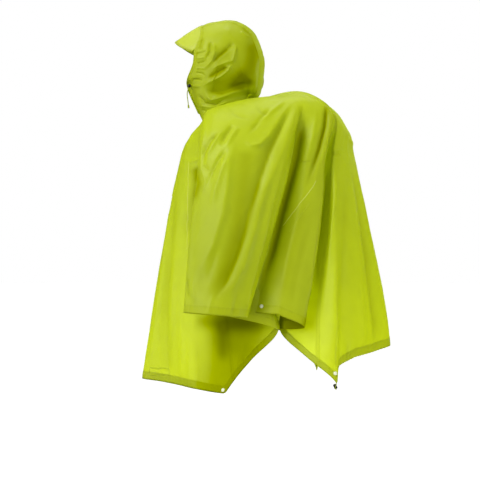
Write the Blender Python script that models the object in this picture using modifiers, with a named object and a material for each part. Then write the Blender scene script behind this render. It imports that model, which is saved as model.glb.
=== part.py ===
"""Rain poncho with a peaked hood, in the hollow form that it has when it is worn over a rucksack.

Metres, +Z up. The wearer's front is -Y and the left side is +X, and the origin is the middle of the neckline.
The body is one cloth that falls from the neckline along fold lines. Each fold line is a row of FOLDS.
"""

import math

import bpy
import numpy as np

MM = 0.001

# Driving dimensions
WALL = 1.5 * MM
SEAM_GAP = 0.3 * MM
FLAP_WALL = 1.0 * MM
PARTS = 3
PANEL_ROWS = 16
NECK_CLEAR = 1.35 * MM
KNOT_POWER = 0.75
# Seams lie where the cloth is flat, by a share of a step from a fold line.
SEAMS = (("front_corner", 1 / 3), ("back_slant", 1 / 3))
# The placket reaches this share of a step to each side of the front, and down to this row of the panel.
PLACKET_HALF = 0.22
PLACKET_ROWS = 10
# The collar flap's ends are stations on the hood's front edge.
FLAP_STATIONS = (0.4, 2.0)
FLAP_HALF_WIDTH = 13 * MM
FLAP_OUT = 3.4 * MM
FLAP_BOW_RADIUS = 30 * MM
FLAP_ROWS = 7
FLAP_COLUMNS = 5
NECK_HALF_WIDTH = 88 * MM
NECK_HALF_DEPTH = 70 * MM
NECK_MIDDLE_Y = -12 * MM
NECK_FRONT_Z = -34 * MM
NECK_RISE = 60 * MM
NECK_RISE_POWER = 0.55
LEVEL_Z = {"chest": -150, "elbow": -360, "wrist": -620, "hem": -840}
# The right side hangs further forward than the left one, by so much at each level.
RIGHT_SWING = {"neck": 0, "yoke": 0, "brow": 0, "chest": 0, "elbow": 32, "wrist": 78, "hem": 137}
SWING_FULL_AT = 250
RIGHT_TIP_DROP = 30
SNAP_RADIUS = 5.5 * MM
SNAP_THICKNESS = 3.0 * MM
SNAP_SIDES = 14
TOGGLE_RADIUS = 5.0 * MM
TOGGLE_LENGTH = 15 * MM
# The toggle's middle hangs so far from the rear corner's tip, in millimetres, and leans along this axis.
TOGGLE_SHIFT = (0, -4.3, -5.8)
TOGGLE_AXIS = np.array([0.001, -0.43, 0.9])
LOCK_RADIUS = 5.5 * MM
LOCK_LENGTH = 11 * MM
TAB_RADIUS = 2.8 * MM
TAB_LENGTH = 10 * MM
CORD_DIAMETER = 2.8 * MM
CORD_SAMPLES = 13

# Columns, in millimetres for the left side: name, place on the neckline in degrees from its front, the yoke and
# the brow where the cloth turns down (x, y, z), then (x, y) at the chest, elbow, wrist and hem levels, and the
# edge's z. A fold that ends at the cuff has no place at the hem level and runs straight on from the wrist.
FOLDS = (
    ("front_centre", 0, (0, -94, -55), (0, -128, -92),
     (0, -150), (0, -199), (0, -245), (0, -279), -840),
    ("front_bosom", 16, (38, -85, -51), (52, -115, -92),
     (62, -140), (74, -168), (84, -190), (86, -196), -840),
    ("front_crease", 32, (70, -71, -41), (92, -104, -86),
     (112, -112), (128, -122), (150, -130), (174, -122), -843),
    ("front_side", 46, (96, -61, -30), (122, -82, -82),
     (145, -80), (168, -76), (208, -64), (272, -50), -844),
    ("front_corner", 57, (110, -54, -24), (144, -64, -78),
     (168, -58), (192, -20), (246, 8), (375, 58), -844),
    ("front_slant", 61, (117, -56, -22), (152, -59, -76),
     (176, -51), (194, 14), (252, 104), (347, 134), -747),
    ("front_valley", 65, (122, -52, -20), (160, -54, -74),
     (184, -44), (202, 50), (258, 187), (264, 196), -661),
    ("sleeve_valley", 70, (128, -48, -17), (170, -50, -72),
     (198, -41), (222, 47), (280, 186), (286, 197), -661),
    ("sleeve_inner", 75, (135, -44, -15), (184, -48, -70),
     (218, -48), (254, -28), (296, 4), None, -612),
    ("sleeve_front", 80, (143, -36, -12), (204, -42, -70),
     (247, -41), (292, -60), (320, -73), None, -613),
    ("sleeve_turn", 90, (152, -15, -6), (224, -8, -62),
     (272, -2), (322, -35), (352, -52), None, -614),
    ("sleeve_outer", 103, (155, 28, 4), (226, 68, -48),
     (284, 78), (340, 48), (375, 18), None, -617),
    ("sleeve_back", 118, (142, 95, 20), (208, 158, -34),
     (270, 165), (326, 128), (360, 78), None, -622),
    ("sleeve_rear", 132, (122, 158, 29), (176, 222, -18),
     (236, 229), (291, 186), (330, 115), None, -625),
    ("rear_hollow", 139, (112, 180, 32), (158, 244, -12),
     (202, 242), (240, 198), (297, 127), None, -610),
    ("rear_layer", 147, (102, 212, 36), (152, 286, -12),
     (206, 284), (262, 256), (310, 200), None, -617),
    ("rear_ridge", 155, (92, 232, 39), (146, 329, -22),
     (188, 323), (245, 316), (293, 281), None, -656),
    ("back_fold", 159, (84, 236, 41), (132, 334, -23),
     (168, 314), (212, 268), (250, 199), (262, 176), -666),
    ("back_valley", 162, (78, 240, 43), (122, 336, -24),
     (151, 318), (188, 274), (228, 202), (240, 180), -667),
    ("back_slant", 163.5, (71, 241, 44.5), (114, 341, -26),
     (156, 335), (204, 318), (254, 280), (330, 287), -740),
    ("back_corner", 165, (64, 242, 46), (106, 346, -28),
     (162, 350), (224, 358), (286, 367), (332, 372), -813),
    ("back_tip", 166.5, (57, 242, 47), (98, 349, -32),
     (150, 358), (209, 370), (264, 376), (314, 373), -764),
    ("back_side", 169.5, (44, 240, 50), (78, 354, -41),
     (120, 370), (172, 397), (220, 416), (262, 411), -742),
    ("back_near", 174.5, (22, 236, 52), (42, 361, -52),
     (66, 384), (92, 425), (112, 465), (118, 484), -730),
    ("back_centre", 180, (0, 234, 53), (0, 364, -61),
     (0, 392), (0, 439), (0, 490), (0, 511), -722),
)
NAMES = [row[0] for row in FOLDS]
LAST = len(FOLDS) - 1
LEVELS = ("neck", "yoke", "brow", "chest", "elbow", "wrist", "hem")

# Columns, in millimetres for the left half of the hood: name, place on the neckline in degrees from its front,
# then (x, y, z) at the collar, chin, cheek, ear, temple, brow and crown. The first is the face edge, the last
# meets the crown strip down to the nape.
RIBS = (
    ("face_edge", 1.5, (2, -112, 30), (12, -129, 74), (58, -120, 96), (84, -97, 138),
     (88, -90, 181), (68, -77, 226), (45, -80, 258)),
    ("cheek", 35, (72, -72, 26), (86, -68, 66), (98, -58, 100), (102, -52, 135),
     (99, -46, 180), (80, -42, 228), (45, -42, 268)),
    ("ear", 75, (92, -22, 38), (100, -14, 72), (106, -5, 105), (107, 5, 142),
     (102, 12, 184), (82, 16, 230), (45, 18, 270)),
    ("rear", 110, (92, 20, 52), (98, 32, 78), (103, 44, 108), (101, 53, 140),
     (93, 60, 172), (75, 65, 207), (45, 69, 239)),
    ("nape", 142, (74, 50, 56), (82, 69, 69), (86, 84, 86), (83, 91, 108),
     (75, 94, 130), (62, 97, 150), (42, 99, 170)),
    ("strip_edge", 166, (25, 68, 50), (30, 84, 47), (33, 92, 57), (34, 95, 70),
     (35, 97, 85), (35, 99, 100), (35, 100, 115)),
)

# Columns, in millimetres: the peak's outer rim (x, y, z), from its middle to its left end at the temple.
PEAK_RIM = ((0, -170, 220), (34, -164, 210), (60, -145, 196), (77, -121, 183), (87, -100, 173))
# Half of the peak's root follows the hood's front edge, from the middle of the crown strip to the temple.
PEAK_END_STATION = 5.0
PEAK_WALL = 2.2 * MM
PEAK_ARCH = 3 * MM
PEAK_LEAN = 0.4
PEAK_COLUMNS = 7
PEAK_MIDDLE_COLUMNS = 3
PEAK_ROWS = 5
# The crown strip is arched by STRIP_CROWN, and flattens out from this share of its length down to the nape.
STRIP_CROWN = 10 * MM
STRIP_FADE_FROM = 0.7
STRIP_END_CROWN = 0.1
STRIP_ROWS = 19
STRIP_COLUMNS = 7
HOOD_COLUMNS = 16
HOOD_ROWS = 17
MIRROR = np.array([-1, 1, 1])

# Columns: name, fold line, share of a step from it, distance up from the edge and lift off the cloth in
# millimetres. The lift keeps a flat foot clear of cloth that is hollow under it, or sits it on a sharp fold.
SNAPS = (
    ("snap_front_corner", "front_corner", -0.05, 11, -0.5),
    ("snap_side", "sleeve_valley", 0.12, 10, 4.6),
    ("snap_cuff", "rear_layer", -0.70, 18, 1.5),
    ("snap_rear_corner", "back_corner", -0.10, 24, -0.7),
)

# Points of the drawcord's free end, in millimetres, from its cord lock down to its end tab.
CORD_POINTS = (
    (50, -118, 70),
    (51, -120, 63),
    (52, -122, 55),
    (52, -122, 45),
    (51, -121, 34),
    (50, -120, 25),
    (50, -119, 16),
)

LIME = (0.43, 0.52, 0.0)
LIME_DARK = (0.33, 0.42, 0.0)
GREY = (0.62, 0.62, 0.58)
BLACK = (0.02, 0.02, 0.02)


# ---------------------------------------------------------------- curves and surfaces


def slopes(knots, values):
    """Tangents of a smooth curve through values at knots: the mean of the two sides, weighted to the nearer."""
    steps = np.diff(knots)
    shape = (-1,) + (1,) * (values.ndim - 1)
    sides = np.diff(values, axis=0) / steps.reshape(shape)
    inner = (sides[:-1] * steps[1:].reshape(shape) + sides[1:] * steps[:-1].reshape(shape)) / (
        steps[1:] + steps[:-1]
    ).reshape(shape)
    return np.concatenate([sides[:1], inner, sides[-1:]])


def hermite(knots, values, at):
    """Cubic through values at knots, read at the numbers in at. Values may have any further axes."""
    tangents = slopes(knots, values)
    i = np.clip(np.searchsorted(knots, at, side="right") - 1, 0, len(knots) - 2)
    step = knots[i + 1] - knots[i]
    u = (at - knots[i]) / step
    shape = (-1,) + (1,) * (values.ndim - 1)
    step, u = step.reshape(shape), u.reshape(shape)
    return (
        values[i] * (2 * u**3 - 3 * u**2 + 1)
        + values[i + 1] * (3 * u**2 - 2 * u**3)
        + tangents[i] * step * (u**3 - 2 * u**2 + u)
        + tangents[i + 1] * step * (u**3 - u**2)
    )


def neckline(degrees):
    """A point of the tilted neckline, by its angle from the front towards the left."""
    angle = math.radians(degrees)
    rise = ((1 - math.cos(angle)) / 2) ** NECK_RISE_POWER
    return (
        NECK_HALF_WIDTH * math.sin(angle),
        NECK_MIDDLE_Y - NECK_HALF_DEPTH * math.cos(angle),
        NECK_FRONT_Z + NECK_RISE * rise,
    )


def fold_points(row, right):
    """One fold line's points at the seven levels, for the left side or mirrored for the right one."""
    _, degrees, yoke, brow, chest, elbow, wrist, hem, _ = row
    if hem is None:
        run_on = (LEVEL_Z["hem"] - LEVEL_Z["wrist"]) / (LEVEL_Z["wrist"] - LEVEL_Z["elbow"])
        hem = tuple(w + (w - e) * run_on for w, e in zip(wrist, elbow))
    falls = [(*place, LEVEL_Z[name]) for name, place in zip(LEVELS[3:], (chest, elbow, wrist, hem))]
    points = np.array([np.array(neckline(degrees)) / MM, yoke, brow, *falls], float)
    if right:
        share = np.clip(points[:, 0] / SWING_FULL_AT, 0, 1)
        points[:, 1] -= share * np.array([RIGHT_SWING[name] for name in LEVELS])
        points[:, 0] *= -1
    return points * MM


def cut_level(points, edge_z):
    """The level, as a number on the fold line, at which the line comes down to edge_z."""
    fine = np.linspace(len(LEVELS) - 3, len(LEVELS) - 1, 200)
    heights = hermite(np.arange(len(LEVELS)), points, fine)[:, 2]
    return float(np.interp(-edge_z * MM, -heights, fine))


def body_rows():
    """(points, cut level) of every fold line, once round the body from the front to the left.

    Place numbers run 0 at the front to LAST at the back down the left side, and on to 2 * LAST at the front again.
    """
    left = [(fold_points(row, False), row[-1]) for row in FOLDS]
    right = []
    for row in FOLDS[-2::-1]:
        drop = RIGHT_TIP_DROP if row[0] == "back_corner" else 0
        right.append((fold_points(row, True), row[-1] - drop))
    rows = left + right
    return np.array([points for points, _ in rows]), np.array([cut_level(*row) for row in rows])


BODY, CUTS = body_rows()
PLACES = np.arange(len(BODY))
# Knots round the body are the mean distances between neighbouring fold lines, below the brow, raised to a power
# that keeps a long step between two tight folds from swinging out beyond them.
STEPS = np.linalg.norm(np.diff(BODY[:, 3:6], axis=0), axis=2).mean(axis=1) ** KNOT_POWER
KNOTS = np.concatenate([[0], np.cumsum(STEPS)])
WRAP = 2


def knot_of(place):
    """Distance round the body of a place number."""
    return np.interp(place, PLACES, KNOTS)


# The ring is closed, so the curve across the folds runs on past its start and its end.
RING = np.concatenate([BODY[-1 - WRAP : -1], BODY, BODY[1 : 1 + WRAP]])
RING_KNOTS = np.concatenate([KNOTS[-1 - WRAP : -1] - KNOTS[-1], KNOTS, KNOTS[1 : 1 + WRAP] + KNOTS[-1]])


def body_at(places, levels):
    """Points of the body cloth. places and levels are arrays of one shape: place round it, level down it."""
    places, levels = np.broadcast_arrays(np.asarray(places, float), np.asarray(levels, float))
    flat_places, flat_levels = places.ravel(), levels.ravel()
    knots = knot_of(flat_places)
    # Down each fold line first, then across the lines.
    basis = hermite(np.arange(len(LEVELS)), np.eye(len(LEVELS)), flat_levels)
    across = hermite(RING_KNOTS, np.eye(len(RING_KNOTS)), knots)
    points = np.einsum("pr,rlc,pl->pc", across, RING, basis)
    return points.reshape(*places.shape, 3)


def body_normal(places, levels):
    """Outward unit normals of the body cloth."""
    places, levels = np.broadcast_arrays(np.asarray(places, float), np.asarray(levels, float))
    small = 0.01
    down = body_at(places, levels + small) - body_at(places, levels - small)
    round_it = body_at(places + small, levels) - body_at(places - small, levels)
    normal = np.cross(down, round_it)
    return normal / np.linalg.norm(normal, axis=-1, keepdims=True)


def cut_at(places):
    """The level of the lower edge at each place; it runs straight between the fold lines."""
    return np.interp(places, PLACES, CUTS)


def up_from_edge(places, distances):
    """Levels on the fold lines that lie these distances above the lower edge."""
    cuts = cut_at(places)
    back = np.linspace(0, 1.2, 60)
    levels = cuts[:, None] - back[None, :]
    line = body_at(places[:, None] + 0 * levels, levels)
    along = np.concatenate(
        [np.zeros((len(places), 1)), np.cumsum(np.linalg.norm(np.diff(line, axis=1), axis=2), axis=1)], axis=1
    )
    return np.array([[np.interp(d, run, row) for d in distances] for run, row in zip(along, levels)])


def place(name, right=False):
    """Place number of a named fold line."""
    number = NAMES.index(name)
    return 2 * LAST - number if right else number


# ---------------------------------------------------------------- objects


def clear_scene():
    for obj in list(bpy.data.objects):
        bpy.data.objects.remove(obj, do_unlink=True)


def material(name, colour, roughness):
    made = bpy.data.materials.get(name) or bpy.data.materials.new(name)
    made.use_nodes = True
    shader = made.node_tree.nodes["Principled BSDF"]
    shader.inputs["Base Color"].default_value = (*colour, 1)
    shader.inputs["Roughness"].default_value = roughness
    shader.inputs["Metallic"].default_value = 0
    return made


def add_object(name, data, look):
    obj = bpy.data.objects.new(name, data)
    data.materials.append(look)
    bpy.data.collections["rain_poncho"].objects.link(obj)
    return obj


def grid_quads(index):
    """Quads over a grid of vertex numbers, facing out when its lines run round to the left and down."""
    corners = [index[:-1, :-1], index[:-1, 1:], index[1:, 1:], index[1:, :-1]]
    return np.stack(corners, axis=-1).reshape(-1, 4)


def halved(quads, points):
    """Triangles of quads, each split along its shorter diagonal."""
    a, b, c, d = quads.T
    across = np.linalg.norm(points[a] - points[c], axis=1) <= np.linalg.norm(points[b] - points[d], axis=1)
    first = np.stack([a, b, np.where(across, c, d)], axis=1)
    second = np.stack([np.where(across, a, b), c, d], axis=1)
    return np.concatenate([first, second])


def cloth(name, points, look, wall=WALL):
    """An open sheet through a grid of points, given its wall half to each side."""
    across, down = points.shape[:2]
    mesh = bpy.data.meshes.new(name)
    quads = grid_quads(np.arange(across * down).reshape(across, down))
    mesh.from_pydata(points.reshape(-1, 3).tolist(), [], quads.tolist())
    mesh.shade_smooth()
    obj = add_object(name, mesh, look)
    thick = obj.modifiers.new("wall", "SOLIDIFY")
    thick.thickness = wall
    thick.offset = 0
    thick.use_quality_normals = True
    return obj


def walled(name, points, normals, look, inner, outer):
    """A sheet through points with its two faces set off by inner and outer along the cloth's own normals.

    Pieces that share a seam share its normals, so their edges stay parallel however the cloth bends there. Both
    faces are split along the same diagonals, so they stay apart where the cloth is twisted.
    """
    across, down = points.shape[:2]
    index = np.arange(across * down).reshape(across, down)
    under = across * down
    halves = halved(grid_quads(index), points.reshape(-1, 3))
    rim = np.concatenate([index[:, 0], index[-1, 1:], index[-2::-1, -1], index[0, -2:0:-1]])
    ahead = np.roll(rim, -1)
    # Each edge is split along the same diagonal, so two twisted edges that face each other don't cross.
    onward = rim < ahead
    first = np.stack([rim, ahead, np.where(onward, ahead, rim) + under], axis=1)
    second = np.stack([np.where(onward, rim, ahead), ahead + under, rim + under], axis=1)
    faces = np.concatenate([halves, halves[:, ::-1] + under, first, second]).tolist()
    both = np.concatenate([points + outer * normals, points + inner * normals]).reshape(-1, 3)
    mesh = bpy.data.meshes.new(name)
    mesh.from_pydata(both.tolist(), [], faces)
    return add_object(name, mesh, look)


def spread_places(first, last):
    """Place numbers from first to last, PARTS to a step. first may be negative, because the ring is closed."""
    return np.mod(np.arange(round(first * PARTS), round(last * PARTS) + 1) / PARTS, 2 * LAST)


def drawn_in(places, levels):
    """A piece's grid of places, with its first and last lines drawn in by half a seam gap at each level."""
    grid = places[:, None] + 0 * levels
    small = 0.01
    for line, way in ((0, 1), (-1, -1)):
        edge = body_at(grid[line], levels[line])
        down = body_at(grid[line], levels[line] + small) - edge
        down /= np.linalg.norm(down, axis=1, keepdims=True)
        reach = body_at(grid[line] + way * small, levels[line]) - edge
        reach -= (reach * down).sum(axis=1, keepdims=True) * down
        grid[line] += way * small * SEAM_GAP / 2 / np.linalg.norm(reach, axis=1)
    return grid


def rows_down(places):
    """Levels of the rows of a panel at each place, from a seam's room below the neckline to the lower edge."""
    small = 0.05
    fall = np.linalg.norm(body_at(places, small) - body_at(places, 0.0), axis=1)[:, None]
    start = small * NECK_CLEAR / fall
    return start + (cut_at(places)[:, None] - start) * np.linspace(0, 1, PANEL_ROWS)


def panel(name, first, last, look):
    """A body piece from the neckline to its lower edge."""
    places = spread_places(first, last)
    levels = rows_down(places)
    grid = drawn_in(places, levels)
    return walled(name, body_at(grid, levels), body_normal(grid, levels), look, -WALL / 2, WALL / 2)


def laid_on(name, places, levels, look):
    """A flap on the outside of the body cloth, made from the panel's own points moved out."""
    grid = drawn_in(places, levels)
    inner = WALL / 2 + SEAM_GAP
    return walled(name, body_at(grid, levels), body_normal(grid, levels), look, inner, inner + FLAP_WALL)


# ---------------------------------------------------------------- body


def build_body(lime):
    seam_front, seam_back = (place(name) + share for name, share in SEAMS)
    whole = 2 * LAST
    panel("front_panel", -seam_front, seam_front, lime)
    panel("side_panel_left", seam_front, seam_back, lime)
    panel("back_panel", seam_back, whole - seam_back, lime)
    panel("side_panel_right", whole - seam_back, whole - seam_front, lime)


# ---------------------------------------------------------------- hood


def rib_points(row):
    start = np.array(neckline(row[1])) / MM
    return np.array([start, *row[2:]], float) * MM


HOOD = np.array([rib_points(row) for row in RIBS])
HOOD_STEPS = np.linalg.norm(np.diff(HOOD[:, 2:6], axis=0), axis=2).mean(axis=1)
HOOD_KNOTS = np.concatenate([[0], np.cumsum(HOOD_STEPS)])
STATIONS = HOOD.shape[1]


def hood_at(ribs, stations):
    """Points of the hood's left half: ribs run from the face edge to the strip, stations from the neckline up."""
    ribs, stations = np.broadcast_arrays(np.asarray(ribs, float), np.asarray(stations, float))
    knots = np.interp(ribs.ravel(), np.arange(len(HOOD)), HOOD_KNOTS)
    up = hermite(np.arange(STATIONS), np.eye(STATIONS), stations.ravel())
    across = hermite(HOOD_KNOTS, np.eye(len(HOOD)), knots)
    return np.einsum("pr,rlc,pl->pc", across, HOOD, up).reshape(*ribs.shape, 3)


def neck_station(ribs):
    """The station at which the hood's cloth starts, a seam's room above the neckline."""
    small = 0.05
    return small * NECK_CLEAR / np.linalg.norm(hood_at(ribs, small) - hood_at(ribs, 0.0), axis=-1)


def mirrored(points):
    """The same points on the other side, in the order that keeps them facing out."""
    return (points * MIRROR)[::-1]


def strip_edge(count):
    """The line where the hood's side meets its crown strip, from the front edge over the crown to the nape."""
    over = hood_at(np.linspace(0, len(HOOD) - 1, count), float(STATIONS - 1))
    nape = float(len(HOOD) - 1)
    stations = np.linspace(STATIONS - 1, float(neck_station(nape)), count // 2 + 2)
    return np.concatenate([over, hood_at(nape, stations[1:])])


def build_hood(lime):
    ribs = np.linspace(0, len(HOOD) - 1, HOOD_COLUMNS)
    share = np.linspace(1, 0, HOOD_ROWS)
    start = neck_station(ribs)[:, None]
    side = hood_at(ribs[:, None], start + (STATIONS - 1 - start) * share[None, :])
    cloth("hood_left", side, lime)
    cloth("hood_right", mirrored(side), lime)
    edge = strip_edge(STRIP_ROWS)
    tangent = np.gradient(edge, axis=0)
    outward = np.stack([0 * tangent[:, 0], -tangent[:, 2], tangent[:, 1]], axis=1)
    outward /= np.linalg.norm(outward, axis=1, keepdims=True)
    share = np.linspace(-1, 1, STRIP_COLUMNS)
    inset = 1 - (SEAM_GAP + WALL / 2) / edge[:, 0]
    across = edge[:, None, :] * np.stack([share, share * 0 + 1, share * 0 + 1], axis=1)[None]
    across[:, :, 0] *= inset[:, None]
    run = np.linspace(0, 1, len(edge))
    fade = np.interp(run, (0, STRIP_FADE_FROM, 1), (1, 1, STRIP_END_CROWN))
    bulge = STRIP_CROWN * (1 - share**2)[None, :] * fade[:, None]
    points = across + outward[:, None, :] * bulge[:, :, None]
    cloth("hood_crown_strip", points[:, ::-1], lime)


def build_peak(lime_dark):
    """A stiffened peak sewn to the hood's front edge from temple to temple."""
    rim = np.array(PEAK_RIM, float) * MM
    rim = hermite(np.linspace(0, 1, len(rim)), rim, np.linspace(0, 1, PEAK_COLUMNS))
    # The root runs over the crown strip's arched front edge, then down the hood's face edge to the temple.
    corner = strip_edge(STRIP_ROWS)[0]
    share = np.linspace(0, 1, PEAK_MIDDLE_COLUMNS)
    arch = STRIP_CROWN * (1 - share**2)
    middle = np.stack([corner[0] * share, corner[1] - PEAK_LEAN * arch, corner[2] + arch], axis=1)
    columns_down = PEAK_COLUMNS - PEAK_MIDDLE_COLUMNS
    down = hood_at(0.0, np.linspace(STATIONS - 1, PEAK_END_STATION, columns_down + 1)[1:])
    root = np.concatenate([middle, down])
    root[:, 1] -= SEAM_GAP + PEAK_WALL / 2
    both_root, both_rim = (np.concatenate([line[:0:-1] * MIRROR, line]) for line in (root, rim))
    out = np.linspace(0, 1, PEAK_ROWS)[None, :, None]
    points = both_root[:, None, :] * (1 - out) + both_rim[:, None, :] * out
    points[:, :, 2] += PEAK_ARCH * (out * (1 - out) * 4)[:, :, 0]
    cloth("hood_peak", points, lime_dark, PEAK_WALL)


# ---------------------------------------------------------------- front fastening


def build_placket(lime_dark):
    """The flap over the front zip, on the front panel below the neckline."""
    places = np.mod(PLACKET_HALF * np.array([-1, -0.5, 0, 0.5, 1]), 2 * LAST)
    laid_on("front_placket", places, rows_down(places)[:, 1:PLACKET_ROWS], lime_dark)


def build_collar_flap(lime_dark):
    """The flap that closes the collar under the chin, bowed round the hood's two front edges."""
    middle = hood_at(0.0, np.linspace(*FLAP_STATIONS, FLAP_ROWS))
    widths = np.linspace(-FLAP_HALF_WIDTH, FLAP_HALF_WIDTH, FLAP_COLUMNS)
    points = np.empty((FLAP_COLUMNS, FLAP_ROWS, 3))
    points[:, :, 0] = widths[:, None]
    points[:, :, 1] = middle[None, :, 1] - FLAP_OUT + (widths[:, None] ** 2) / (2 * FLAP_BOW_RADIUS)
    points[:, :, 2] = middle[None, :, 2]
    cloth("collar_flap", points[:, ::-1], lime_dark, FLAP_WALL)


# ---------------------------------------------------------------- fittings


def frame_from(normal):
    """A rotation matrix's columns with Z along normal."""
    z = normal / np.linalg.norm(normal)
    x = np.cross([0.0, 0.0, 1.0], z)
    x /= np.linalg.norm(x)
    return np.stack([x, np.cross(z, x), z], axis=1)


def turned(name, profile, sides, centre, axis, look):
    """A closed turned body: rings of (radius, height) joined and capped, with its axis through centre."""
    angles = np.linspace(0, 2 * math.pi, sides, endpoint=False)
    circle = np.stack([np.cos(angles), np.sin(angles), 0 * angles], axis=1)
    rings = [r * circle + (0, 0, h) for r, h in profile]
    points = np.concatenate(rings) @ frame_from(axis).T + centre
    faces = [tuple(range(sides))[::-1]]
    for level in range(len(profile) - 1):
        for i in range(sides):
            j = (i + 1) % sides
            low, high = level * sides, (level + 1) * sides
            faces.append((low + i, low + j, high + j, high + i))
    faces.append(tuple(range((len(profile) - 1) * sides, len(profile) * sides)))
    mesh = bpy.data.meshes.new(name)
    mesh.from_pydata(points.tolist(), [], faces)
    return add_object(name, mesh, look)


def snap(name, centre, axis, look):
    """A press stud's cap: a low dome on a flat foot."""
    r, h = SNAP_RADIUS, SNAP_THICKNESS
    profile = ((r, 0), (r, 0.35 * h), (0.8 * r, 0.75 * h), (0.45 * r, h))
    turned(name, profile, SNAP_SIDES, centre, axis, look)


def barrel(name, radius, length, centre, axis, look):
    """A turned barrel with rounded ends, its middle at centre."""
    r, h = radius, length / 2
    profile = ((0.6 * r, -h), (r, -0.7 * h), (r, 0.7 * h), (0.6 * r, h))
    turned(name, profile, SNAP_SIDES, centre, axis, look)


def unit(vector):
    return vector / np.linalg.norm(vector)


def build_fittings(grey, black, lime_dark):
    for right in (False, True):
        side = "right" if right else "left"
        for name, fold, shift, height, lift in SNAPS:
            where = place(fold, right) + (-shift if right else shift)
            level = up_from_edge(np.array([where]), [height * MM])[0, 0]
            normal = body_normal(where, level)
            out = WALL / 2 + SEAM_GAP + lift * MM
            snap(f"{name}_{side}", body_at(where, level) + out * normal, normal, grey)
    corner = place("back_corner")
    hang = body_at(corner, cut_at(corner)) + np.array(TOGGLE_SHIFT) * MM
    barrel("corner_toggle", TOGGLE_RADIUS, TOGGLE_LENGTH, hang, TOGGLE_AXIS, black)
    cord = np.array(CORD_POINTS, float) * MM
    up, down = unit(cord[0] - cord[1]), unit(cord[-1] - cord[-2])
    lock = cord[0] + up * (LOCK_LENGTH / 2 + SEAM_GAP)
    barrel("hood_cord_lock", LOCK_RADIUS, LOCK_LENGTH, lock, up, black)
    tab = cord[-1] + down * (TAB_LENGTH / 2 + SEAM_GAP)
    barrel("hood_cord_end", TAB_RADIUS, TAB_LENGTH, tab, down, lime_dark)


def build_cord(lime_dark):
    """The drawcord's free end, a round cord along a smooth curve through its points."""
    cord = np.array(CORD_POINTS, float) * MM
    smooth = hermite(np.arange(len(cord)), cord, np.linspace(0, len(cord) - 1, CORD_SAMPLES))
    curve = bpy.data.curves.new("hood_drawcord", "CURVE")
    curve.dimensions = "3D"
    curve.bevel_depth = CORD_DIAMETER / 2
    curve.bevel_resolution = 2
    curve.use_fill_caps = True
    spline = curve.splines.new("POLY")
    spline.points.add(len(smooth) - 1)
    for point, co in zip(spline.points, smooth):
        point.co = (*co, 1)
    add_object("hood_drawcord", curve, lime_dark)


def main():
    clear_scene()
    collection = bpy.data.collections.get("rain_poncho") or bpy.data.collections.new("rain_poncho")
    if collection.name not in bpy.context.scene.collection.children:
        bpy.context.scene.collection.children.link(collection)
    lime = material("coated_nylon", LIME, 0.45)
    lime_dark = material("coated_nylon_hem", LIME_DARK, 0.5)
    grey = material("snap_resin", GREY, 0.35)
    black = material("cord_lock_resin", BLACK, 0.4)
    build_body(lime)
    build_hood(lime)
    build_peak(lime_dark)
    build_placket(lime_dark)
    build_collar_flap(lime_dark)
    build_fittings(grey, black, lime_dark)
    build_cord(lime_dark)


main()
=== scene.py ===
"""Rain poncho: the cloth, hems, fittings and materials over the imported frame, laid out as a Blender add-on."""

import math

import bpy
import numpy as np
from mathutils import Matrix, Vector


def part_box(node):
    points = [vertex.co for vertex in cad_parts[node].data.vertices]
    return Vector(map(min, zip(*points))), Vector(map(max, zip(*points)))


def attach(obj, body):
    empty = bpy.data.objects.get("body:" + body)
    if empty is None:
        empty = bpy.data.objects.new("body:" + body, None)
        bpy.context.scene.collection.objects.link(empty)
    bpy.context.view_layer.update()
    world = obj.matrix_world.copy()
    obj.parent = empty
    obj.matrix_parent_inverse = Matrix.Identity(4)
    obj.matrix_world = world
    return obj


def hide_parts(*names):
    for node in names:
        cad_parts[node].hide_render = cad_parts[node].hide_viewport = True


bl_info = {
    "name": "Rain poncho",
    "version": (1, 0, 0),
    "blender": (4, 5, 0),
    "location": "3D View > Sidebar > Poncho",
    "description": "Drapes a hooded rain poncho over its frame and finishes its cloth and fittings",
    "category": "Object",
}

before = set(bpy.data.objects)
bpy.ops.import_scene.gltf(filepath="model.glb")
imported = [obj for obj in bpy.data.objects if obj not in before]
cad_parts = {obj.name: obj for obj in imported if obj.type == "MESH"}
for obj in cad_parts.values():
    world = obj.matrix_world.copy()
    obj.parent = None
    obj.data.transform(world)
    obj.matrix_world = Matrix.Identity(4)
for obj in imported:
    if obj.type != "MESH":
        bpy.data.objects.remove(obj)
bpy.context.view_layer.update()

MM = 0.001
MIRROR = np.array([-1, 1, 1])

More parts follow.
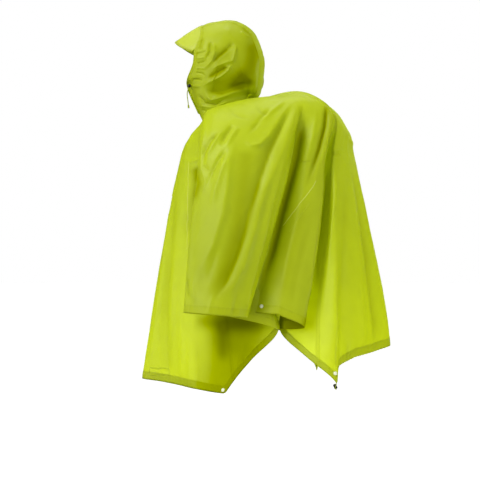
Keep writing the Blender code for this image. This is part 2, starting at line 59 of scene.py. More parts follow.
# Columns, in millimetres for the left side: name, place on the neckline in degrees from its front, the yoke and
# the brow (x, y, z), then (x, y) at the chest, elbow, wrist and hem levels, and the edge's z.
FOLDS = (
    ("front_centre", 0, (0, -94, -55), (0, -128, -92),
     (0, -150), (0, -199), (0, -245), (0, -279), -840),
    ("front_bosom", 16, (38, -85, -51), (52, -115, -92),
     (62, -140), (74, -168), (84, -190), (86, -196), -840),
    ("front_crease", 32, (70, -71, -41), (92, -104, -86),
     (112, -112), (128, -122), (150, -130), (174, -122), -843),
    ("front_side", 46, (96, -61, -30), (122, -82, -82),
     (145, -80), (168, -76), (208, -64), (272, -50), -844),
    ("front_corner", 57, (110, -54, -24), (144, -64, -78),
     (168, -58), (192, -20), (246, 8), (375, 58), -844),
    ("front_slant", 61, (117, -56, -22), (152, -59, -76),
     (176, -51), (194, 14), (252, 104), (347, 134), -747),
    ("front_valley", 65, (122, -52, -20), (160, -54, -74),
     (184, -44), (202, 50), (258, 187), (264, 196), -661),
    ("sleeve_valley", 70, (128, -48, -17), (170, -50, -72),
     (198, -41), (222, 47), (280, 186), (286, 197), -661),
    ("sleeve_inner", 75, (135, -44, -15), (184, -48, -70),
     (218, -48), (254, -28), (296, 4), None, -612),
    ("sleeve_front", 80, (143, -36, -12), (204, -42, -70),
     (247, -41), (292, -60), (320, -73), None, -613),
    ("sleeve_turn", 90, (152, -15, -6), (224, -8, -62),
     (272, -2), (322, -35), (352, -52), None, -614),
    ("sleeve_outer", 103, (155, 28, 4), (226, 68, -48),
     (284, 78), (340, 48), (375, 18), None, -617),
    ("sleeve_back", 118, (142, 95, 20), (208, 158, -34),
     (270, 165), (326, 128), (360, 78), None, -622),
    ("sleeve_rear", 132, (122, 158, 29), (176, 222, -18),
     (236, 229), (291, 186), (330, 115), None, -625),
    ("rear_hollow", 139, (112, 180, 32), (158, 244, -12),
     (204, 228), (242, 180), (291, 110), None, -612),
    ("rear_layer", 147, (102, 212, 36), (152, 286, -12),
     (206, 284), (262, 256), (310, 200), None, -617),
    ("rear_ridge", 155, (92, 232, 39), (146, 329, -22),
     (188, 323), (245, 316), (293, 281), None, -656),
    ("back_fold", 159, (84, 236, 41), (132, 334, -23),
     (168, 314), (212, 268), (250, 199), (262, 176), -666),
    ("back_valley", 162, (78, 240, 43), (122, 336, -24),
     (151, 318), (188, 274), (228, 202), (240, 180), -667),
    ("back_slant", 163.5, (71, 241, 44.5), (114, 341, -26),
     (156, 335), (204, 318), (254, 280), (330, 287), -740),
    ("back_corner", 165, (64, 242, 46), (106, 346, -28),
     (162, 350), (224, 358), (286, 367), (332, 372), -813),
    ("back_tip", 166.5, (57, 242, 47), (98, 349, -32),
     (150, 358), (209, 370), (264, 376), (314, 373), -764),
    ("back_side", 169.5, (44, 240, 50), (78, 354, -41),
     (120, 370), (172, 397), (220, 416), (262, 411), -742),
    ("back_near", 174.5, (22, 236, 52), (42, 361, -52),
     (66, 384), (92, 425), (112, 465), (118, 484), -730),
    ("back_centre", 180, (0, 234, 53), (0, 364, -61),
     (0, 392), (0, 439), (0, 490), (0, 511), -722),
)
NAMES = [row[0] for row in FOLDS]
LAST = len(FOLDS) - 1
LEVELS = ("neck", "yoke", "brow", "chest", "elbow", "wrist", "hem")
LEVEL_Z = {"chest": -150, "elbow": -360, "wrist": -620, "hem": -840}
# Share of the way down at which each level lies, so that rows of the cloth are nearly evenly spaced.
LEVEL_RUN = (0, 0.1, 0.2, 0.31, 0.54, 0.8, 1.0)
RIGHT_SWING = {"neck": 0, "yoke": 0, "brow": 0, "chest": 0, "elbow": 32, "wrist": 78, "hem": 137}
SWING_FULL_AT = 250
KNOT_POWER = 0.75
# How much lower than the left one the far rear corner is cut, in millimetres. The frame's solid lowers only
# back_corner. Its rear_hollow also lies less deep behind the sleeve than the one here.
RIGHT_TIP_DROP = {"back_slant": 6, "back_corner": 34, "back_tip": 60}
NECK_HALF_WIDTH, NECK_HALF_DEPTH, NECK_MIDDLE_Y = 88 * MM, 70 * MM, -12 * MM
NECK_FRONT_Z, NECK_RISE, NECK_RISE_POWER = -34 * MM, 60 * MM, 0.55
SEAMS = (("front_corner", 1 / 3), ("back_slant", 1 / 3))

# Columns, in millimetres for the hood's left half: name, degrees on the neckline, then (x, y, z) at the collar,
# chin, cheek, ear, temple, brow and crown.
RIBS = (
    ("face_edge", 1.5, (2, -112, 30), (12, -129, 74), (58, -120, 96), (84, -97, 138),
     (88, -90, 181), (68, -77, 226), (45, -80, 258)),
    ("cheek", 35, (72, -72, 26), (86, -68, 66), (98, -58, 100), (102, -52, 135),
     (99, -46, 180), (80, -42, 228), (45, -42, 268)),
    ("ear", 75, (92, -22, 38), (100, -14, 72), (106, -5, 105), (107, 5, 142),
     (102, 12, 184), (82, 16, 230), (45, 18, 270)),
    ("rear", 110, (92, 20, 52), (98, 32, 78), (103, 44, 108), (101, 53, 140),
     (93, 60, 172), (75, 65, 207), (45, 69, 239)),
    ("nape", 142, (74, 50, 56), (82, 69, 69), (86, 84, 86), (83, 91, 108),
     (75, 94, 130), (62, 97, 150), (42, 99, 170)),
    ("strip_edge", 166, (25, 68, 50), (30, 84, 47), (33, 92, 57), (34, 95, 70),
     (35, 97, 85), (35, 99, 100), (35, 100, 115)),
)
PEAK_RIM = ((0, -170, 220), (34, -164, 210), (60, -145, 196), (77, -121, 183), (87, -100, 173))
PEAK_END_STATION = 5.0
STRIP_CROWN = 10 * MM

# Creases are laid out on a side elevation, seen level and 10 degrees behind square from a standing distance.
# It is ruled in steps of 3.125 mm from its top left corner. Columns: layer of cloth, height of the crease out
# of the cloth (a trough is below 0) and its half width in millimetres, how much wider its left flank is than
# its right one, how much of each end fades out, its points across and down the elevation, how crisp it is (2
# is a round bell, 1 a sharp edge between two flat sides) and its width at its end as a share of that at its
# start. The last two may be left out, for the values of CREASE_ENDS.
CREASE_COLUMNS, CREASE_ENDS = 7, (2.0, 1.0)
CREASES = (
    # the shoulder and the front of the sleeve
    ("sleeve", -6.5, 6, 1, 0.2, 0.4, ((218, 132), (210, 141), (204, 153), (201, 168)), 1.4, 0.8),
    ("sleeve", 5.5, 5, 1, 0.2, 0.4, ((225, 128), (216, 140), (209, 153), (206, 170)), 1.3),
    ("sleeve", -6.5, 5, 1, 0.2, 0.3, ((233, 124), (226, 134), (220, 147)), 1.4, 0.8),
    ("sleeve", 5, 6, 1, 0.2, 0.4, ((239, 126), (231, 138), (225, 150)), 1.4),
    ("sleeve", -6.5, 6, 1, 0.2, 0.4, ((227, 149), (219, 160), (212, 173), (207, 188)), 1.4),
    ("sleeve", 5, 8, 1, 0.3, 0.4, ((232, 150), (224, 166), (216, 190), (211, 216)), 1.4, 1.2),
    ("sleeve", -3.5, 4, 1, 0.3, 0.4, ((203, 165), (208, 170), (213, 171)), 1.5),
    ("sleeve", 5, 4, 0.5, 0.2, 0.4, ((206, 122), (202, 149), (201, 168), (205.5, 182), (202, 193),
     (197, 210)), 1.4),
    # the broad light fall, and the plane behind it
    ("sleeve", 10, 15, 2.8, 0.3, 0.3, ((236, 132), (230, 165), (228, 187), (224, 214), (213, 248),
     (201, 268), (192, 280)), 1.3, 0.8),
    ("sleeve", -3, 12, 1, 0.4, 0.4, ((205, 268), (200, 284), (203, 300))),
    ("sleeve", -2.5, 8, 1, 0.4, 0.4, ((219, 246), (209, 274), (203, 292)), 1.8),
    # the lobe that hangs from the back of the shoulder, and the drag lines above it
    ("sleeve", 8.5, 6, 3, 0.3, 0.3, ((292, 102), (279, 121), (269, 137), (261, 145), (252, 146),
     (242, 139)), 1.2),
    ("sleeve", -5.5, 5, 1, 0.2, 0.4, ((271, 108), (258, 122), (247, 136)), 1.4, 0.8),
    ("sleeve", 4.5, 6, 1, 0.2, 0.5, ((286, 100), (266, 116), (250, 128)), 1.6),
    ("sleeve", -3, 5, 1, 0.4, 0.5, ((256, 104), (262, 112), (272, 117))),
    ("sleeve", -2.5, 5, 1, 0.4, 0.5, ((228, 108), (238, 116), (252, 120))),
    # the trough before the long ridge, the ridge, and the pleat at the sleeve's rear edge
    ("sleeve", -10, 8, 3, 0.15, 0.2, ((294, 102), (283, 124), (271, 150), (258, 187), (250, 212),
     (244, 236), (237, 258), (226, 282), (208, 309)), 1.3),
    ("sleeve", 6.5, 9, 1.6, 0.15, 0.2, ((302, 98), (293, 117), (283, 149), (275, 168), (267, 187),
     (260, 209), (256, 227), (251, 244), (245, 264), (234, 286), (221, 309)), 1.4),
    ("sleeve", 8, 4, 3.5, 0.1, 0.05, ((303, 104), (297, 120), (290, 140), (284.5, 160), (278, 184),
     (272, 206), (265.5, 235), (258, 262), (251, 288), (246, 312)), 1.2),
    ("sleeve", -5, 3, 1.4, 0.1, 0.2, ((304, 103), (298.5, 124), (293, 148), (287.5, 170)), 1.3),
    ("sleeve", 4, 4, 1.2, 0.15, 0.3, ((306, 112), (299, 144), (292, 171), (285, 196)), 1.4),
    # the cuff
    ("sleeve", -5, 4.5, 1, 0.3, 0.3, ((188, 278), (186, 290), (189, 300)), 1.5),
    ("sleeve", 3.5, 5, 1, 0.3, 0.3, ((192, 276), (193, 290), (195, 304)), 1.8),
    ("sleeve", 2, 6, 1, 0.5, 0.1, ((215, 290), (211, 302), (209, 314))),
    ("sleeve", -2, 6, 1, 0.5, 0.1, ((240, 286), (236, 300), (233, 316))),
    # the layer behind the sleeve
    ("rear", -10, 11, 0.6, 0.1, 0.3, ((303, 122), (296, 160), (288, 190), (280, 220), (273, 249),
     (265, 276), (259, 300)), 1.5, 0.9),
    ("rear", 3.5, 8, 1, 0.3, 0.4, ((317, 104), (315, 124), (310, 148), (302, 176)), 1.8),
    ("rear", -9, 8, 1, 0.15, 0.4, ((327, 102), (325, 127), (319.5, 149), (310, 176), (303, 196)), 1.4),
    ("rear", 4, 5, 1.4, 0.3, 0.3, ((331, 108), (329, 133), (324, 155), (321, 170)), 1.4),
    ("rear", 3.5, 10, 1, 0.4, 0.3, ((307, 176), (298, 216), (288, 256), (280, 298)), 1.8),
    ("rear", -3, 9, 1, 0.4, 0.2, ((313, 210), (303, 250), (295, 284), (291, 308)), 1.8),
    ("rear", 4, 6, 1.6, 0.4, 0.2, ((322, 190), (318, 226), (313, 262), (309, 306)), 1.5),
    ("rear", 2, 4, 1, 0.3, 0.4, ((300, 161), (312, 161)), 1.5),
    # the back over the rucksack
    ("back", -5.5, 5, 1, 0.2, 0.3, ((329, 160), (326, 176), (323, 204), (318, 242), (313, 294)), 1.6),
    ("back", 4.5, 6, 1, 0.3, 0.3, ((339, 158), (336, 190), (331, 240), (325, 300), (322, 334)), 1.6),
    ("back", -2.5, 10, 1, 0.3, 0.3, ((346, 176), (345, 220), (342, 268), (338, 318))),
    ("back", 3, 12, 1, 0.4, 0.2, ((352, 196), (356, 250), (360, 300), (364, 350))),
    ("back", -2, 10, 1, 0.4, 0.2, ((360, 210), (368, 262), (375, 310), (380, 346))),
    ("back", 3, 3.5, 1, 0.3, 0.5, ((330, 148), (338, 151), (345, 149)), 1.5),
    ("back", -3, 3, 1, 0.3, 0.5, ((329, 153), (336, 155), (343, 154)), 1.5),
    ("back", 2.5, 3.5, 1, 0.3, 0.5, ((331, 158), (337, 159), (342, 163)), 1.5),
    ("back", 2.5, 5, 1, 0.5, 0.3, ((343, 336), (341, 350), (341, 362))),
    ("back", -2.5, 4, 1, 0.5, 0.3, ((348, 338), (347, 350), (347, 360))),
    ("back", -3, 5, 1, 0.4, 0.2, ((336.5, 340), (337, 356), (337.5, 368)), 1.6),
    # the front
    ("front", -7, 8, 1.6, 0.06, 0.5, ((199, 166), (198, 176), (197, 190), (193, 206), (187, 232),
     (182, 262)), 1.8),
    ("front", 3, 5, 1, 0.5, 0.2, ((186, 166), (194, 161), (205, 158)), 1.5),
    ("front", 2, 10, 1, 0.4, 0.1, ((190, 330), (190, 352), (189, 388)), 1.8),
    ("front", -2, 10, 1, 0.4, 0.1, ((197, 336), (197, 360), (198, 390)), 1.8),
    ("front", -2.5, 16, 1, 0.4, 0.4, ((168, 250), (162, 300), (158, 350))),
    ("front", 2.5, 12, 1, 0.4, 0.3, ((178, 236), (172, 290), (170, 350))),
    ("front", 3, 12, 1, 0.3, 0.2, ((252, 322), (244, 344), (234, 376))),
    ("front", -5, 20, 1, 0.3, 0.3, ((222, 318), (222, 344), (222, 366))),
)
HOOD_CREASES = (
    # the side of the face, gathered by the drawcord
    ("hood", -3.5, 3, 1, 0.1, 0.4, ((196, 54), (202, 52.5), (207, 50)), 1.5),
    ("hood", 3, 2.8, 1, 0.1, 0.4, ((196, 58.5), (202, 58), (207.5, 56)), 1.5),
    ("hood", -3.5, 3, 1, 0.1, 0.4, ((197, 63.5), (203, 62), (208, 59)), 1.5),
    ("hood", 2.6, 2.6, 1, 0.1, 0.4, ((196.5, 67.5), (202, 68.5), (206, 68)), 1.5),
    ("hood", -3, 2.6, 1, 0.1, 0.4, ((196, 72.5), (202, 73.5), (206, 77)), 1.5),
    ("hood", -3.2, 3, 1, 0.1, 0.4, ((192, 79.5), (198, 79.5), (204, 81)), 1.5),
    ("hood", 3, 6, 1, 0.1, 0.5, ((190, 86), (197, 86), (204, 87)), 1.8),
    # the wedges that run up and back from the cheek
    ("hood", -3, 4, 1, 0.3, 0.3, ((203, 36), (201.5, 44), (200, 52)), 1.8),
    ("hood", -4.5, 4, 1, 0.2, 0.3, ((210.5, 41), (209.5, 52), (205.5, 60)), 1.5),
    ("hood", 5, 5, 1, 0.2, 0.3, ((213.5, 42), (215.5, 52), (212, 61), (206, 67.5), (201, 71)), 1.3, 0.8),
    ("hood", -6, 6, 1.2, 0.15, 0.3, ((234, 42), (226, 50), (217, 57.5), (211, 65)), 1.5, 0.8),
    ("hood", 6, 4, 2.4, 0.15, 0.25, ((236.5, 44), (235, 54), (233, 61), (226, 63), (218, 66),
     (210, 71)), 1.2, 0.8),
    ("hood", -5.5, 5, 1, 0.2, 0.3, ((229, 66), (219, 70), (207, 79.5)), 1.5),
    ("hood", 6.5, 4.5, 1.3, 0.12, 0.25, ((232, 63.5), (229, 70), (221, 76.5), (209, 82.5), (202, 87)),
     1.15),
    # the deep hollow behind them, over the collar
    ("hood", -17, 9, 5.5, 0.25, 0.3, ((258, 83), (247, 88), (236, 89.5), (222, 92.5), (211, 92),
     (203, 88)), 1.5, 0.8),
    ("hood", 7.5, 5, 1, 0.2, 0.1, ((204, 94), (212, 100), (221, 97.5), (233, 92.5), (250, 90)), 1.3),
    ("hood", 9, 6, 3, 0.3, 0.1, ((212, 109), (226, 103.5), (240, 99.5), (254, 96.5)), 1.6),
    ("hood", -6, 4.5, 1, 0.2, 0.3, ((197, 94), (205, 103.5), (216, 105), (227, 98)), 1.5),
    ("hood", 4, 3.5, 1, 0.2, 0.3, ((198, 104.5), (207.5, 107), (218, 108)), 1.4),
    ("hood", -4, 3.2, 1, 0.3, 0.3, ((201, 109), (207, 112.5), (209, 117)), 1.6),
    # the crown and the back of the head
    ("hood", 2.5, 9, 1, 0.3, 0.4, ((224, 26), (231, 36), (241, 46)), 1.8),
    ("hood", -3.5, 3.5, 1, 0.2, 0.3, ((242, 26), (246, 31), (251, 34)), 1.5),
    ("hood", 3, 3.5, 1, 0.2, 0.3, ((240, 31), (246, 36), (252, 38)), 1.5),
    ("hood", 4, 6, 1, 0.3, 0.3, ((259, 70), (256, 84), (250, 94)), 1.8),
    ("hood", 6, 6, 1, 0.2, 0.3, ((259, 92), (253, 97), (247, 97)), 1.8),
)
ELEVATION_STEP = 3.125 * MM
ELEVATION_MIDDLE = (0.0344, -0.403)
ELEVATION_TURN = math.radians(100)
ELEVATION_DISTANCE = 4.2
ELEVATION_SIZE = 480

# Creases of the front and the back, on elevations seen square on. Columns as in CREASES, the points in
# millimetres (x, z), and the layer is the side that the crease faces.
SQUARE_CREASES = (
    ("ahead", 4, 14, 1, 0.3, 0.1, ((34, -190), (46, -420), (50, -640), (44, -836))),
    ("ahead", -4, 16, 1, 0.3, 0.1, ((70, -220), (92, -430), (108, -640), (120, -838))),
    ("ahead", 3.5, 14, 1, 0.4, 0.1, ((118, -300), (148, -520), (176, -700), (196, -840))),
    ("ahead", -4, 16, 1, 0.3, 0.1, ((-30, -210), (-44, -400), (-62, -640), (-80, -836))),
    ("ahead", 4, 14, 1, 0.3, 0.1, ((-72, -200), (-96, -430), (-128, -650), (-146, -838))),
    ("ahead", -3, 14, 1, 0.4, 0.1, ((-122, -300), (-156, -520), (-190, -700), (-214, -840))),
    ("ahead", -3, 9, 1, 0.3, 0.5, ((24, -60), (52, -110), (84, -170))),
    ("ahead", 3, 8, 1, 0.3, 0.5, ((-22, -58), (-50, -112), (-82, -176))),
    ("ahead", -2.5, 8, 1, 0.3, 0.5, ((-10, -78), (-24, -150), (-30, -230))),
    ("behind", 5, 16, 1, 0.3, 0.1, ((28, -130), (44, -330), (54, -540), (48, -726))),
    ("behind", -4.5, 16, 1, 0.3, 0.1, ((66, -140), (96, -340), (122, -540), (134, -728))),
    ("behind", 4, 14, 1, 0.4, 0.1, ((104, -160), (144, -380), (182, -580), (206, -738))),
    ("behind", -5, 18, 1, 0.3, 0.1, ((-12, -140), (-20, -340), (-34, -540), (-44, -722))),
    ("behind", 5, 15, 1, 0.3, 0.1, ((-60, -120), (-84, -330), (-104, -540), (-116, -728))),
    ("behind", -4, 15, 1, 0.3, 0.1, ((-100, -150), (-140, -370), (-176, -580), (-196, -736))),
    ("behind", -3, 8, 1, 0.3, 0.4, ((-60, -60), (-20, -84), (30, -78), (66, -58))),
    ("behind", 3, 8, 1, 0.3, 0.4, ((-70, -84), (-24, -106), (28, -102), (72, -82))),
    ("behind", 2.5, 7, 1, 0.4, 0.4, ((-84, -40), (-62, -90), (-58, -150))),
)
# Painted shade, which darkens the cloth's colour and cuts the light through it. Columns as in CREASES, with
# the share of painted shade in place of the height.
PAINTED_SHADE = (
    # painted shade on the sleeve's broad plane and in the trough before its long ridge
    ("sleeve", 0.33, 26, 1, 0.05, 0.2, ((247, 148), (240, 196), (233, 240), (220, 276), (207, 306)),
     2.4, 0.8),
    ("sleeve", 0.3, 9, 1, 0.1, 0.2, ((262, 176), (255, 204), (246, 236), (232, 272), (216, 304)), 1.8,
     0.8),
    # painted shade in the valley behind the sleeve's rear edge, beside the rear ridge and on the back beside it
    ("rear", 0.6, 22, 0.3, 0.1, 0.15, ((299, 112), (294, 146), (287, 184), (276, 222), (270, 248),
     (261, 276), (256, 306)), 1.6, 0.9),
    ("rear", 0.45, 9, 1, 0.1, 0.4, ((327, 102), (325, 127), (319, 150), (311, 176)), 1.6),
    ("rear", 0.25, 30, 1, 0.3, 0.2, ((308, 180), (298, 220), (286, 262), (276, 306))),
    ("back", 0.3, 11, 0.6, 0.15, 0.2, ((330, 164), (327, 200), (321, 250), (315, 300)), 1.6),
    # painted shade under the cuff, and a broad painted shade over the lower front beneath the sleeve
    ("front", 0.3, 24, 1, 0.1, 0.2, ((192, 320), (226, 324), (256, 326), (272, 324))),
    ("front", 0.72, 108, 1, 0.02, 0.02, ((237, 280), (234, 350), (224, 410)), 3.0, 0.9),
    # painted shade in the hollow between the front and the sleeve
    ("front", 0.5, 20, 1, 0.15, 0.4, ((194, 164), (196.5, 174), (198, 184), (195.5, 198), (192.5, 212)),
     2.2, 0.7),
    ("sleeve", 0.6, 15, 1, 0.1, 0.3, ((194, 165), (196.5, 174), (199, 184), (195.5, 196), (192.5, 206)),
     2.4, 0.55),
    ("valley", 0.9, 20, 1, 0.06, 0.25, ((194, 165), (196.5, 174), (199, 184), (195.5, 196),
     (192.5, 206)), 3.2, 0.55),
    # painted shade inside the fold under the rear hem
    ("tucked", 1, 40, 1, 0.05, 0.05, ((268, 318), (284, 322), (306, 328)), 4.0),
    # painted shade on the hood's rear plane, over the collar and in its wedges
    ("hood", 0.62, 32, 1, 0.25, 0.3, ((254, 34), (253, 56), (249, 70), (241, 80), (226, 85)), 1.9, 0.8),
    ("hood", 0.4, 13, 1, 0.25, 0.4, ((258, 78), (248, 84), (238, 86), (222, 87)), 1.9),
    ("hood", 0.3, 14, 1, 0.2, 0.3, ((229, 47), (219, 56), (212, 66)), 1.6),
    ("hood", 0.4, 14, 1, 0.2, 0.3, ((228, 67), (217, 73), (206, 81)), 1.6),
)
# Painted shade in the creases' troughs: a trough as deep as HOLLOW_DEPTH gets HOLLOW_SHARE of it.
HOLLOW_DEPTH, HOLLOW_SHARE = 9 * MM, 0.45
NOISE_SIZE = 64
# Where the panels and the hood start, in levels down from the neckline and in stations up from it.
PANEL_START, HOOD_START = 0.002, 0.003
# The turned-in hem: how far in from the edge its rows lie, and how far inside the cloth.
HEM_ROWS, HEM_BACK = (0.0015, 0.004, 0.010, 0.016), (0.0007, 0.0010, 0.0011, 0.0011, 0.0009)
# Distances from an edge or a seam at which the doubled cloth and a stitch fade out and are full.
HEM_FADE, SEAM_FADE, STITCH_FADE, STITCH_LENGTH = (0.0255, 0.0235), (0.009, 0.0075), (0.0011, 0.0004), 0.005
# The fold lines between which each layer of the cloth lies.
LAYERS = {
    "front": ("front_centre", "front_valley"),
    "sleeve": ("sleeve_valley", "rear_hollow"),
    "rear": ("rear_hollow", "back_valley"),
    "back": ("back_valley", "back_centre"),
    "valley": ("front_slant", "sleeve_valley"),
    "tucked": ("rear_ridge", "back_fold"),
}
# Layers that lie in a fold, whichever way their cloth faces.
FOLDED = ("valley", "tucked")

# Sewn lines that cross a panel: the layer that they lie on, whether they are taped, and their points on the
# side elevation.
STITCHED_LINES = (
    ("rear", True, ((283, 226), (298, 206), (313, 187), (322, 168))),
    ("rear", False, ((289, 232), (304, 211), (318, 192))),
    ("rear", False, ((299, 161), (312, 161))),
    ("front", False, ((149, 368), (169, 368.5), (169, 375), (149, 375), (149, 368))),
    ("front", True, ((188.8, 162), (188.3, 176), (187.6, 214), (187, 250))),
)

# Lamps: name, place, size, power in watts, whether it lights the cloth and whether it shows in its gloss.
LAMPS = (
    ("key", (1.9, -2.4, 2.6), (1.5, 1.5), 92.0, True, True),
    ("top", (-0.9, -0.5, 2.6), (2.4, 2.4), 46.0, True, True),
    ("rear", (-1.0, 3.0, 0.9), (1.5, 1.5), 40.0, True, False),
    ("panel", (2.35, -1.7, -0.1), (1.5, 2.4), 44.0, True, True),
    ("fill", (3.2, 1.6, 1.2), (1.8, 1.8), 14.0, True, False),
    ("low", (1.9, 2.5, -0.8), (1.6, 1.6), 24.0, True, False),
    ("back", (-2.6, 0.8, 0.6), (2.4, 2.4), 110.0, True, False),
    ("bounce", (0.1, 0.4, -1.42), (1.4, 1.4), 13.0, True, False),
    ("front_sheen", (0.1, -3.2, -0.4), (1.2, 2.2), 22.0, False, True),
    ("rear_sheen", (1.5, 2.9, -0.9), (0.9, 0.9), 9.0, False, True),
)
LAMP_AIM = np.array([0.0, 0.1, -0.35])
FLOOR_RADIUS, FLOOR_Z, FLOOR_SIDES = 30, -1.48, 96
SENSOR_WIDTH = 36.0

CORD_POINTS = (
    (50, -118, 70),
    (51, -120, 63),
    (52, -122, 55),
    (52, -122, 45),
    (51, -121, 34),
    (50, -120, 25),
    (50, -119, 16),
)


# Profiles of the turned pieces, from end to end: radius and height in millimetres, and for the press stud the
# share of its radius and the height.
LOCK_PROFILE = (
    (2.6, -5.4), (3.6, -5.0), (4.9, -3.9), (5.3, -2.6), (5.3, 1.2), (4.7, 1.7), (3.6, 2.0), (3.4, 2.3),
    (3.4, 4.4), (3.0, 5.2), (1.6, 5.5),
)
END_PROFILE = ((1.5, -5.0), (2.3, -4.6), (2.7, -3.4), (2.7, 2.6), (2.2, 4.2), (1.2, 4.9))
TOGGLE_PROFILE = (
    (2.6, -7.4), (3.6, -7.0), (4.4, -5.6), (4.8, -3.6), (4.9, -1.2), (4.2, -0.7), (4.2, 0.7), (4.9, 1.2),
    (4.8, 3.6), (4.4, 5.6), (3.6, 7.0), (2.6, 7.4),
)
STUD_PROFILE = (
    (0.35, 0.0), (0.92, 0.0), (1, 0.35), (1, 0.9), (0.93, 1.35), (0.82, 1.55), (0.74, 1.45), (0.68, 1.6),
    (0.5, 2.2), (0.3, 2.45), (0.2, 2.3), (0.08, 2.2),
)


# ---------------------------------------------------------------- curves and surfaces


def hermite(knots, values, at):
    """Cubic through values at knots, read at the numbers in at.

    Each span is the value at its ends times the cubic blend, plus the slope at its ends times the cubic bend.
    """
    steps = np.diff(knots)
    shape = (-1,) + (1,) * (values.ndim - 1)
    sides = np.diff(values, axis=0) / steps.reshape(shape)
    ahead, behind = steps[1:].reshape(shape), steps[:-1].reshape(shape)
    inner = (sides[:-1] * ahead + sides[1:] * behind) / (ahead + behind)
    slopes = np.concatenate([sides[:1], inner, sides[-1:]])
    i = np.clip(np.searchsorted(knots, at, side="right") - 1, 0, len(knots) - 2)
    step = knots[i + 1] - knots[i]
    u = ((at - knots[i]) / step).reshape(shape)
    step = step.reshape(shape)
    return (
        values[i] * (2 * u**3 - 3 * u**2 + 1)
        + values[i + 1] * (3 * u**2 - 2 * u**3)
        + slopes[i] * step * (u**3 - 2 * u**2 + u)
        + slopes[i + 1] * step * (u**3 - u**2)
    )


def lengths(line):
    """Length along a line of points up to each of them."""
    return np.concatenate([[0], np.cumsum(np.linalg.norm(np.diff(line, axis=0), axis=1))])


def unit(vectors):
    """Vectors divided by their lengths."""
    return vectors / np.linalg.norm(vectors, axis=-1, keepdims=True)


def neckline(degrees):
    """A point of the tilted neckline: an ellipse that rises by a power of its share towards the back."""
    angle = math.radians(degrees)
    rise = ((1 - math.cos(angle)) / 2) ** NECK_RISE_POWER
    return (
        NECK_HALF_WIDTH * math.sin(angle),
        NECK_MIDDLE_Y - NECK_HALF_DEPTH * math.cos(angle),
        NECK_FRONT_Z + NECK_RISE * rise,
    )


def fold_points(row, right):
    """One fold line's points at the seven levels, for the left side or mirrored for the right one."""
    _, degrees, yoke, brow, chest, elbow, wrist, hem, _ = row
    if hem is None:
        run_on = (LEVEL_Z["hem"] - LEVEL_Z["wrist"]) / (LEVEL_Z["wrist"] - LEVEL_Z["elbow"])
        hem = tuple(w + (w - e) * run_on for w, e in zip(wrist, elbow))
    falls = [(*place, LEVEL_Z[name]) for name, place in zip(LEVELS[3:], (chest, elbow, wrist, hem))]
    points = np.array([np.array(neckline(degrees)) / MM, yoke, brow, *falls], float)
    if right:
        share = np.clip(points[:, 0] / SWING_FULL_AT, 0, 1)
        points[:, 1] -= share * np.array([RIGHT_SWING[name] for name in LEVELS])
        points[:, 0] *= -1
    return points * MM


def cut_level(points, edge_z):
    """The level on a fold line at which the line comes down to edge_z."""
    fine = np.linspace(len(LEVELS) - 3, len(LEVELS) - 1, 200)
    heights = hermite(np.arange(len(LEVELS)), points, fine)[:, 2]
    return float(np.interp(-edge_z * MM, -heights, fine))


def body_rows():
    """Points and cut level of every fold line, once round the body from the front to the left."""
    left = [(fold_points(row, False), row[-1]) for row in FOLDS]
    right = []
    for row in FOLDS[-2::-1]:
        drop = RIGHT_TIP_DROP.get(row[0], 0)
        right.append((fold_points(row, True), row[-1] - drop))
    rows = left + right
    return np.array([points for points, _ in rows]), np.array([cut_level(*row) for row in rows])


BODY, CUTS = body_rows()
PLACES = np.arange(len(BODY))
STEPS = np.linalg.norm(np.diff(BODY[:, 3:6], axis=0), axis=2).mean(axis=1)
# Length round the body up to each fold line, and the curve's knots, which keep long steps from swinging out.
RUNS = np.concatenate([[0], np.cumsum(STEPS)])
KNOTS = np.concatenate([[0], np.cumsum(STEPS**KNOT_POWER)])
WRAP = 2
RING = np.concatenate([BODY[-1 - WRAP : -1], BODY, BODY[1 : 1 + WRAP]])
RING_KNOTS = np.concatenate([KNOTS[-1 - WRAP : -1] - KNOTS[-1], KNOTS, KNOTS[1 : 1 + WRAP] + KNOTS[-1]])
WHOLE = 2 * LAST


def body_at(places, levels):
    """Points of the body cloth: a cubic down each fold line, then a cubic across the lines round the ring."""
    places, levels = np.broadcast_arrays(np.asarray(places, float), np.asarray(levels, float))
    knots = np.interp(places.ravel(), PLACES, KNOTS)
    basis = hermite(np.arange(len(LEVELS)), np.eye(len(LEVELS)), levels.ravel())
    across = hermite(RING_KNOTS, np.eye(len(RING_KNOTS)), knots)
    lines = np.tensordot(across, RING, axes=(1, 0))
    return np.einsum("plc,pl->pc", lines, basis).reshape(*places.shape, 3)


def body_normal(places, levels):
    """Outward unit normals of the body cloth: the cross product of its slopes down and round it."""
    small = 0.01
    down = body_at(places, levels + small) - body_at(places, levels - small)
    round_it = body_at(places + small, levels) - body_at(places - small, levels)
    normal = np.cross(down, round_it)
    return unit(normal)


def place(name):
    """The number of a fold line on the left side, counted from the front."""
    return NAMES.index(name)


HOOD = np.array([np.array([np.array(neckline(row[1])) / MM, *row[2:]], float) * MM for row in RIBS])
HOOD_STEPS = np.linalg.norm(np.diff(HOOD[:, 2:6], axis=0), axis=2).mean(axis=1)
HOOD_KNOTS = np.concatenate([[0], np.cumsum(HOOD_STEPS)])
STATIONS = HOOD.shape[1]


def hood_at(ribs, stations):
    """Points of the hood's left half: a cubic up each rib, then a cubic across the ribs."""
    ribs, stations = np.broadcast_arrays(np.asarray(ribs, float), np.asarray(stations, float))
    knots = np.interp(ribs.ravel(), np.arange(len(HOOD)), HOOD_KNOTS)
    up = hermite(np.arange(STATIONS), np.eye(STATIONS), stations.ravel())
    across = hermite(HOOD_KNOTS, np.eye(len(HOOD)), knots)
    return np.einsum("pr,rlc,pl->pc", across, HOOD, up).reshape(*ribs.shape, 3)


